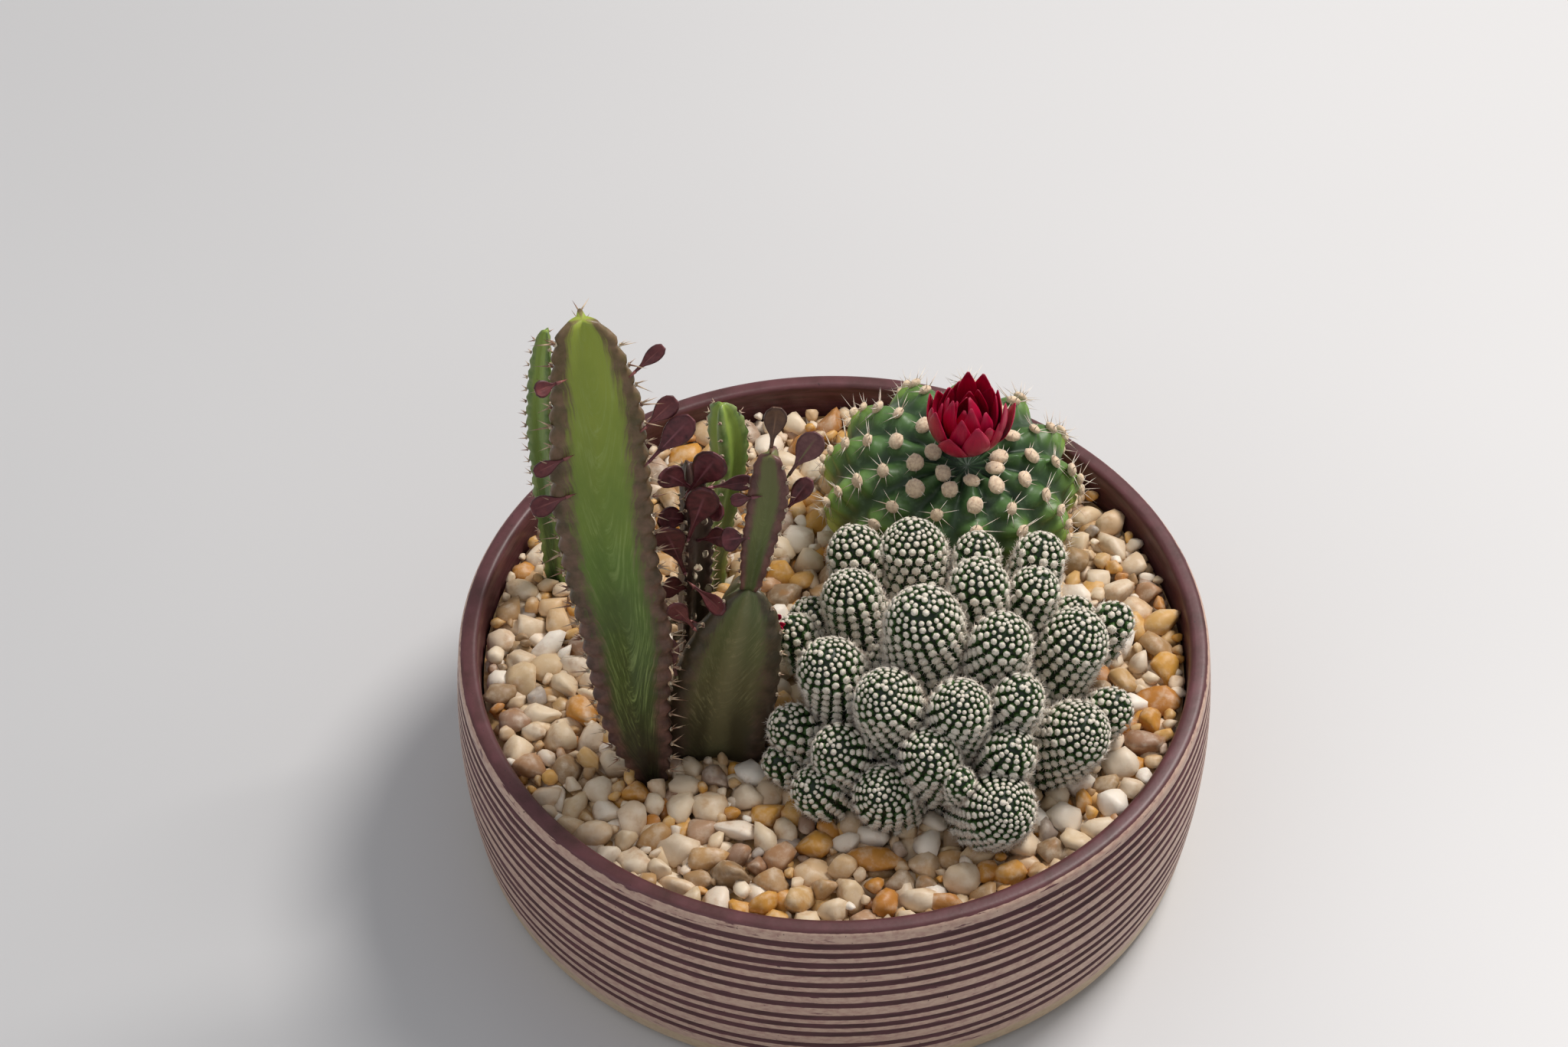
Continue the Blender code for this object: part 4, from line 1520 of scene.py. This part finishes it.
@dataclass
class AngledStem:
    """A three-angled euphorbia stem along its stations, with areoles and thorns on the ribs."""

    node: str
    slot: str
    finish: Finish
    stations: tuple[Station, ...]
    turn: float
    thorn: Finish = THORN
    hollow: float = 1.15
    areole_pitch: float = 6.5
    tooth: float = 0.9
    thorn_length: float = 2.6
    columns: int = 72
    pitch: float = 1.3
    back_tuck: float = 0.0
    seed: int = 3

    def at(self, share: float) -> tuple[Vector, float]:
        """Centre in millimetres and reach at this share of the height."""
        path = np.array(self.stations)
        heights = path[:, 2]
        z = heights[0] + (heights[-1] - heights[0]) * share
        row = [float(np.interp(z, heights, path[:, i])) for i in range(4)]
        spread = 4.0
        if 0.04 < share < 0.96:
            both = [
                [float(np.interp(z + s, heights, path[:, i])) for i in (0, 1, 3)]
                for s in (-spread, 0, spread)
            ]
            mean = np.mean(both, axis=0)
            return Vector((mean[0], mean[1], z)), float(mean[2])
        return Vector((row[0], row[1], z)), row[3]

    def reach(self, size: float, angle: float, z: float) -> float:
        """Distance of the skin from the centre at an angle from a rib.

        Args:
            size: reach of a rib here.
            angle: angle from the first rib.
            z: height, for the teeth.

        Returns:
            The distance in millimetres.
        """
        ridge = 0.5 + 0.5 * math.cos(3 * angle)
        rib = round(angle / (2 * math.pi / 3))
        phase = z / self.areole_pitch + rib * 0.33
        tooth = self.tooth * (0.5 + 0.5 * math.cos(2 * math.pi * phase)) * ridge**6
        drift = 0.25 * noise.noise(Vector((angle * 1.5, z * 0.08, self.turn)))
        small = min(1.0, size / 4.0)
        out = size / (1 + self.hollow * (1 - ridge)) + (tooth - self.tooth * 0.5 + drift) * small
        low, high = self.stations[0][2], self.stations[-1][2]
        tuck = self.back_tuck * smooth_step(0.78, 0.95, (z - low) / (high - low))
        return out * (1 - tuck * max(0.0, math.cos(angle - 2 * math.pi / 3)))

    def build(self) -> bpy.types.Object:
        """Lofts the stem ring by ring, caps it and sets the thorns."""
        piece = Piece(self.node + "_skin", (self.finish, self.thorn, BRACT))
        low, high = self.stations[0][2], self.stations[-1][2]
        bm = piece.bm
        rings = max(12, int((high - low) / self.pitch))
        ring = bmesh.ops.create_circle(bm, cap_ends=True, segments=self.columns, radius=1.0)["verts"]
        edges = [e for e in bm.edges]
        rows = [ring]
        for _ in range(rings):
            out = bmesh.ops.extrude_edge_only(bm, edges=edges)["geom"]
            edges = [e for e in out if isinstance(e, bmesh.types.BMEdge)
                     and all(v in set(g for g in out if isinstance(g, bmesh.types.BMVert)) for v in e.verts)]  # fmt: skip
            rows.append([g for g in out if isinstance(g, bmesh.types.BMVert)])
        bmesh.ops.contextual_create(bm, geom=edges)
        lean = math.radians(self.turn)
        ribs, heights, acrosses = {}, {}, {}
        for number, row in enumerate(rows):
            share = number / rings
            centre, size = self.at(share)
            for vert in row:
                angle = math.atan2(vert.co.y, vert.co.x)
                out = self.reach(size, angle, centre.z)
                ribs[vert] = (0.5 + 0.5 * math.cos(3 * angle)) ** 1.5
                heights[vert] = share
                acrosses[vert] = abs(math.sin(1.5 * angle)) * 0.5 + 0.25 * math.cos(angle) + 0.25
                vert.co = Vector(
                    (
                        centre.x + out * math.cos(angle + lean),
                        centre.y + out * math.sin(angle + lean),
                        centre.z,
                    )
                )
        for end in (rows[0], rows[-1]):
            bmesh.ops.poke(bm, faces=[f for f in bm.faces if set(f.verts) == set(end)])
        bmesh.ops.recalc_face_normals(bm, faces=bm.faces)
        bmesh.ops.transform(bm, matrix=Matrix.Scale(MM, 4), verts=bm.verts)
        for face in bm.faces:
            face.smooth = True
        piece.values = {
            Coat.RIB: [ribs.get(v, 0.6) for v in bm.verts],
            Coat.HEIGHT: [heights.get(v, 1.0 if v.co.z > 0.5 * (low + high) * MM else 0.0) for v in bm.verts],
            Coat.ACROSS: [acrosses.get(v, 0.5) for v in bm.verts],
        }
        self.arm(piece, low, high, lean)
        return piece.finish((self.node,), self.slot)

    def arm(self, piece: Piece, low: float, high: float, lean: float) -> None:
        """Sets an areole scar and a pair of thorns on each tooth.

        Args:
            piece: the stem's piece.
            low: lowest height.
            high: highest height.
            lean: the ribs' turn in radians.
        """
        rng = random.Random(self.seed)
        stamps = []
        for _ in range(4):
            bm = bmesh.new()
            pad(bm, Vector((0, 0, 0)), 0.75, 0.4, 2)
            for side in (-1, 1):
                way = Vector((side * rng.uniform(0.35, 0.7), rng.uniform(-0.1, 0.5), 1.0))
                needle(bm, Vector((side * 0.25, 0, 0)), way, self.thorn_length * rng.uniform(0.7, 1.2), 0.26, 5, 1)
            needle(bm, Vector((0, 0.3, 0)), Vector((0, 0.9, 1)), self.thorn_length * 0.5, 0.2, 4, 1)
            stamps.append(Stamp(bm))
        for rib in range(3):
            angle = rib * 2 * math.pi / 3
            z = low + self.areole_pitch * (1 - (rib * 0.33) % 1.0)
            while z < high - 0.5:
                share = (z - low) / (high - low)
                centre, size = self.at(share)
                number = round(z / self.areole_pitch + rib * 0.33)
                exact = (number - rib * 0.33) * self.areole_pitch
                out = self.reach(size, angle, exact)
                way = Vector((math.cos(angle + lean), math.sin(angle + lean), 0.25))
                spot = Vector((centre.x, centre.y, 0)) + way * out * 0.985
                spot.z = z
                if z > 56.0:
                    grow = min(1.0, 0.5 + size / 14.0) * rng.uniform(0.8, 1.2)
                    place = Matrix.Translation(spot * MM) @ basis(way, rng.uniform(-0.4, 0.4))
                    piece.press(rng.choice(stamps), place @ Matrix.Scale(grow * MM, 4),
                                rib=1.0, height=share, across=0.5)  # fmt: skip
                z += self.areole_pitch


TRUNK_SKIN = StemSkin(
    name="Euphorbia_skin_trunk", face_low="3f3a26", face_mid="5c5a36", face_top="626b3c",
    face_dim="47452a", rib="33251f", rib_light="5a4238", rib_start=0.72, marble="9a9468",
    marble_share=0.75, centre_share=0.4, foot="2a211a", foot_reach=0.2,
)  # fmt: skip
TALL_SKIN = StemSkin(
    name="Euphorbia_skin_tall", face_low="2c2a19", face_dim="46551f", face_mid="64802a", face_top="9aa83e",
    rib="4f302d", rib_light="7f564f", rib_start=0.7, marble="a8bb6c", marble_share=0.6, foot="251a17", foot_reach=0.3,
)  # fmt: skip
GREEN_SKIN = StemSkin(
    name="Euphorbia_skin_green", face_low="3c4a26", face_dim="4a6430", face_mid="647c30", face_top="8fa646",
    rib="5f7a38", rib_light="8a9a58", rib_start=0.6, marble="9cc866", marble_share=0.3, foot="33301c", foot_reach=0.15,
)  # fmt: skip
BRANCH_SKIN = StemSkin(
    name="Euphorbia_skin_branch", face_low="525c30", face_mid="68703a", face_top="6f6f40",
    face_dim="5c6636", rib="5a3833", rib_light="7d554c", rib_start=0.6, marble="8f9a58", marble_share=0.35, foot="4c5a28", foot_reach=0.06,
)  # fmt: skip
DARK_SKIN = StemSkin(
    name="Euphorbia_skin_dark", face_low="3a2f28", face_mid="4a3c33", face_top="5c4038",
    face_dim="40342b", rib="33201f", rib_light="5a4038", rib_start=0.4, marble="75685a", marble_share=0.4, foot="2a201c", foot_reach=0.2,
)  # fmt: skip


@dataclass
class Euphorbia:
    """The three-angled euphorbia: trunk, stems, shoots, leaves and dried scraps."""

    seed: int = 23
    facing: Vector = field(default_factory=lambda: Vector((0.0, -0.8, 0.6)))

    def stems(self) -> list[AngledStem]:
        """The six stems with the stations their solids follow."""
        return [
            AngledStem(
                "euphorbia_trunk", "trunk", TRUNK_SKIN,
                ((-31.4, -26.5, 47.0, 14.0), (-31.0, -26.5, 58.0, 15.0), (-28.8, -26.0, 79.0, 16.0),
                 (-25.5, -26.0, 95.0, 13.5), (-23.5, -27.0, 104.0, 10.5), (-22.5, -28.0, 109.5, 6.5),
                 (-22.0, -28.5, 111.5, 3.0)),
                -30.0, areole_pitch=7.5, thorn_length=1.6, tooth=0.7, seed=31,
            ),
            AngledStem(
                "euphorbia_tall_stem", "green_stem", TALL_SKIN,
                ((-47.5, -41.0, 47.0, 3.0), (-47.8, -40.8, 55.0, 4.0), (-49.8, -40.0, 66.0, 8.0),
                 (-52.2, -38.2, 81.0, 10.0), (-52.8, -34.5, 106.0, 12.6), (-56.5, -31.0, 130.0, 13.0),
                 (-58.0, -27.5, 154.0, 13.6), (-58.0, -23.8, 177.0, 12.3), (-59.3, -22.0, 190.0, 9.8),
                 (-59.9, -21.6, 195.6, 7.4), (-60.1, -21.8, 198.4, 4.6)),
                -22.0, areole_pitch=5.4, thorn_length=4.4, tooth=1.3, back_tuck=0.35, seed=32,
            ),
            AngledStem(
                "euphorbia_branch", "dark_stem", BRANCH_SKIN,
                ((-21.6, -28.6, 112.0, 2.6), (-20.4, -28.8, 117.0, 3.6), (-19.6, -28.6, 125.0, 4.4),
                 (-17.6, -28.0, 135.0, 5.2), (-15.6, -27.2, 148.0, 5.8), (-15.8, -26.6, 154.0, 5.0),
                 (-16.0, -26.4, 157.0, 3.2)),
                75.0, areole_pitch=4.2, thorn_length=1.7, tooth=0.6, columns=42, seed=33,
            ),
            AngledStem(
                "euphorbia_dark_stem", "dark_stem", DARK_SKIN,
                ((-38.0, -6.0, 47.0, 4.6), (-38.0, -7.5, 62.0, 4.8), (-37.0, -11.5, 88.0, 5.0),
                 (-35.6, -17.5, 118.0, 5.0), (-35.6, -21.0, 138.0, 4.4), (-35.8, -22.0, 147.0, 3.0),
                 (-36.0, -22.2, 150.0, 1.2)),
                10.0, areole_pitch=4.6, thorn_length=3.0, tooth=0.8, columns=42, seed=34,
            ),
            AngledStem(
                "euphorbia_back_stem", "green_stem", GREEN_SKIN,
                ((-74.5, 30.0, 47.0, 3.4), (-74.8, 30.0, 60.0, 3.6), (-75.6, 30.0, 84.0, 4.0),
                 (-75.8, 30.0, 113.0, 4.2), (-74.6, 30.0, 132.0, 3.8), (-73.6, 30.0, 142.0, 2.6),
                 (-73.2, 30.0, 145.5, 1.2)),
                60.0, thorn=GREEN_THORN, areole_pitch=4.4, thorn_length=2.6, tooth=0.7, columns=42, seed=35,
            ),
            AngledStem(
                "euphorbia_green_shoot", "green_stem", GREEN_SKIN,
                ((-33.0, 27.0, 47.0, 4.2), (-33.0, 27.0, 60.0, 4.6), (-31.0, 27.0, 76.0, 5.0),
                 (-27.4, 27.0, 100.0, 5.6), (-28.0, 27.0, 114.0, 6.2), (-28.5, 27.0, 119.0, 4.0),
                 (-28.7, 27.0, 121.5, 1.6)),
                20.0, thorn=GREEN_THORN, areole_pitch=5.0, thorn_length=1.8, tooth=0.7, columns=42, seed=36,
            ),
        ]  # fmt: skip

    # Leaves with a solid: node, base, tip, width and finish.
    leaves: tuple[tuple[str, Point, Point, float, Finish], ...] = (
        ("tall_stem_leaf_1", (-48.1, -27.2, 185.4), (-41.0, -24.6, 191.4), 3.4, RED_LEAF),
        ("tall_stem_leaf_2", (-64.8, -35.2, 165.0), (-72.4, -37.8, 162.6), 3.6, RED_LEAF),
        ("tall_stem_leaf_3", (-64.8, -37.0, 153.8), (-73.6, -39.6, 151.8), 5.0, RED_LEAF),
        ("tall_stem_leaf_4", (-46.0, -30.0, 169.8), (-38.4, -26.0, 175.4), 5.0, RED_LEAF),
        ("tall_stem_leaf_5", (-45.2, -32.0, 160.4), (-34.6, -30.2, 173.6), 6.8, LEAF),
        ("dark_stem_leaf_1", (-36.5, -26.2, 143.0), (-28.6, -30.0, 160.0), 8.4, LEAF),
        ("dark_stem_leaf_2", (-36.8, -24.9, 125.5), (-31.4, -32.0, 150.5), 8.0, LEAF),
        ("dark_stem_leaf_3", (-30.8, -22.6, 141.6), (-20.2, -22.4, 143.4), 3.8, LEAF),
        ("dark_stem_leaf_4", (-38.0, -22.0, 110.0), (-42.4, -33.0, 137.8), 7.8, LEAF),
        ("dark_stem_leaf_5", (-35.6, -36.0, 104.6), (-40.8, -41.8, 119.6), 4.8, RED_LEAF),
        ("branch_leaf_1", (-15.9, -26.1, 158.0), (-14.3, -26.0, 172.0), 5.4, OLIVE_LEAF),
        ("branch_leaf_2", (-11.5, -27.0, 150.4), (-4.2, -25.0, 162.4), 6.8, MAUVE_LEAF),
        ("branch_leaf_3", (-12.9, -28.0, 137.6), (-6.4, -27.0, 149.0), 5.0, LEAF),
    )
    # Small leaves without a solid: name, base, tip, width and finish.
    small_leaves: tuple[tuple[str, Point, Point, float, Finish], ...] = (
        ("small_leaf_1", (-65.4, -33.0, 188.2), (-70.7, -36.0, 188.2), 3.9, RED_LEAF),
        ("small_leaf_2", (-35.1, -26.0, 144.4), (-41.9, -33.0, 157.5), 6.5, LEAF),
        ("small_leaf_3", (-36.0, -26.0, 109.8), (-28.3, -34.0, 108.5), 4.2, RED_LEAF),
        ("small_leaf_4", (-40.5, -37.0, 87.4), (-43.1, -39.0, 104.0), 5.5, MAUVE_LEAF),
        ("small_leaf_5", (-21.3, -30.0, 131.5), (-28.2, -31.0, 131.5), 6.0, LEAF),
        ("small_leaf_6", (-20.1, -30.0, 145.6), (-25.8, -30.0, 144.3), 3.2, LEAF),
        ("small_leaf_7", (-43.4, -39.6, 76.5), (-44.0, -41.0, 80.5), 2.6, RED_LEAF),
        ("small_leaf_8", (-34.5, -21.0, 128.0), (-43.5, -28.0, 136.5), 6.0, LEAF),
        ("small_leaf_9", (-34.5, -20.0, 120.0), (-26.5, -27.0, 129.0), 5.4, LEAF),
        ("small_leaf_10", (-36.2, -17.0, 99.0), (-43.5, -25.0, 108.0), 5.6, RED_LEAF),
        ("small_leaf_11", (-35.0, -22.0, 134.0), (-27.5, -28.5, 139.5), 5.8, LEAF),
        ("small_leaf_12", (-37.0, -22.0, 92.0), (-33.0, -31.0, 97.5), 4.4, RED_LEAF),
    )

    def stalk(self, piece: Piece, base: Vector, tip: Vector) -> None:
        """Adds the short stalk under a blade."""
        bm = bmesh.new()
        way = base - tip
        needle(bm, base - way.normalized() * 0.6, way, 3.0, 0.5, 6)
        stamp = Stamp(bm)
        piece.press(stamp, Matrix.Scale(MM, 4), across=0.0, along=0.1, tone=0.0)

    def build(self) -> list[bpy.types.Object]:
        """Builds stems, leaves and scraps."""
        made = [stem.build() for stem in self.stems()]
        for name, base, tip, width, finish in self.leaves + self.small_leaves:
            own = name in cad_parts
            piece = Piece(name + "_blade" if own else name, (finish,))
            LEAF_BLADE.press(piece, Vector(base), Vector(tip), width, self.facing)
            self.stalk(piece, Vector(base), Vector(tip))
            made.append(piece.finish((name,) if own else (), "burgundy_leaf"))
        made += [self.scraps(), self.tuft()]
        return made

    def tuft(self) -> bpy.types.Object:
        """A tuft of magenta bud scales on the trunk's shoulder."""
        rng = random.Random(self.seed + 1)
        piece = Piece("trunk_bud_tuft", (PETAL,))
        _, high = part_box("euphorbia_trunk")
        root = Vector((high.x / MM - 2.6, -29.5, high.z / MM - 12.5))
        for _ in range(9):
            way = Vector((rng.uniform(-0.4, 1.0), rng.uniform(-1.0, 0.1), rng.uniform(0.2, 1.0))).normalized()
            foot = root + Vector((rng.uniform(-1, 1), 0, rng.uniform(-1.8, 1.8)))
            # A tone of 0.7 gives these scales part of the petal finish's painted pink highlight.
            PETAL_BLADE.press(piece, foot, foot + way * rng.uniform(2.2, 3.6), 1.5, self.facing, 0.7)
        return piece.finish((), "flower_petals")

    def scraps(self) -> bpy.types.Object:
        """Dried stipules that cling to the dark stem."""
        rng = random.Random(self.seed)
        piece = Piece("dried_scraps", (BRACT,))
        curl = BladeForm((0.3, 0.7, 1.0, 0.9, 0.6, 0.1), 0.2, 0.6, -0.25, 4, 6)
        stem = self.stems()[3]
        for i in range(16):
            centre, size = stem.at(0.2 + 0.75 * i / 16)
            turn = rng.uniform(-2.6, -0.5)
            flat = Vector((math.cos(turn), math.sin(turn), 0))
            base = centre + flat * size * 0.8
            way = flat + Vector((rng.uniform(-0.5, 0.5), 0, rng.uniform(0.2, 1.2)))
            curl.press(piece, base, base + way.normalized() * rng.uniform(2.5, 5.5), 2.2, self.facing)
        return piece.finish((), "dark_stem")


# ---------------------------------------------------------------- stage


@dataclass
class Stage:
    """Floor, lights, camera and the light of the room."""

    lens: float = 85.0
    sensor: float = 36.0
    eye: Point = (-0.0129, -0.6570, 0.7944)
    look: Point = (0.0, 0.6898, -0.7240)
    roll: float = -0.0103
    floor_size: float = 4.0
    room: str = "eaebee"
    room_strength: float = 0.47

    def floor(self) -> None:
        """A plain pale tabletop."""
        bm = bmesh.new()
        bmesh.ops.create_grid(bm, x_segments=2, y_segments=2, size=self.floor_size / 2)
        mesh = bpy.data.meshes.new("tabletop")
        bm.to_mesh(mesh)
        bm.free()
        mesh.materials.append(Tabletop().make())
        top = bpy.data.objects.new("tabletop", mesh)
        bpy.context.scene.collection.objects.link(top)

    def lamp(self, name: str, spot: Point, power: float, size: float, colour: str) -> None:
        """A soft area lamp that faces the bowl.

        Args:
            name: the lamp's name.
            spot: its place in metres.
            power: its power in watts.
            size: its width in metres.
            colour: hex colour.
        """
        data = bpy.data.lights.new(name, "AREA")
        data.shape = "DISK"
        data.energy, data.size = power, size
        data.color = linear(colour)[:3]
        lamp = bpy.data.objects.new(name, data)
        lamp.location = spot
        lamp.rotation_euler = (Vector((0, 0, 0.07)) - Vector(spot)).to_track_quat("-Z", "Y").to_euler()
        bpy.context.scene.collection.objects.link(lamp)

    def camera(self) -> None:
        """The camera at its viewing angle."""
        data = bpy.data.cameras.new("camera")
        data.lens, data.sensor_width = self.lens, self.sensor
        camera = bpy.data.objects.new("camera", data)
        way = Vector(self.look).normalized()
        right = Vector((1, 0, 0))
        above = right.cross(way).normalized()
        side = right * math.cos(self.roll) + above * math.sin(self.roll)
        top = above * math.cos(self.roll) - right * math.sin(self.roll)
        turned = Matrix((side, top, -way)).transposed().to_4x4()
        camera.matrix_world = Matrix.Translation(self.eye) @ turned
        bpy.context.scene.collection.objects.link(camera)
        bpy.context.scene.camera = camera

    def build(self) -> None:
        """Builds the whole stage."""
        self.floor()
        self.lamp("window_key", (0.5, 0.42, 0.95), 11.0, 0.42, "fffaf6")
        self.lamp("sky_fill", (-0.8, -0.7, 1.3), 2.6, 1.4, "f0f3ff")
        self.camera()
        world = bpy.data.worlds.new("room")
        world.use_nodes = True
        back = world.node_tree.nodes["Background"]
        back.inputs["Color"].default_value = linear(self.room)
        back.inputs["Strength"].default_value = self.room_strength
        bpy.context.scene.world = world
        bpy.context.scene.view_settings.view_transform = "Standard"


def main() -> None:
    """Builds the bowl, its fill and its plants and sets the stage."""
    logging.basicConfig(level=logging.INFO, format="%(name)s: %(message)s")
    Bowl().build()
    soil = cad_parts["potting_soil"]
    soil.data.materials.clear()
    soil.data.materials.append(SOIL.make())
    GravelBed().build()
    ClusterCactus().build()
    BallCactus().build()
    Flower().build()
    Euphorbia().build()
    Stage().build()


if __name__ == "__main__":
    main()
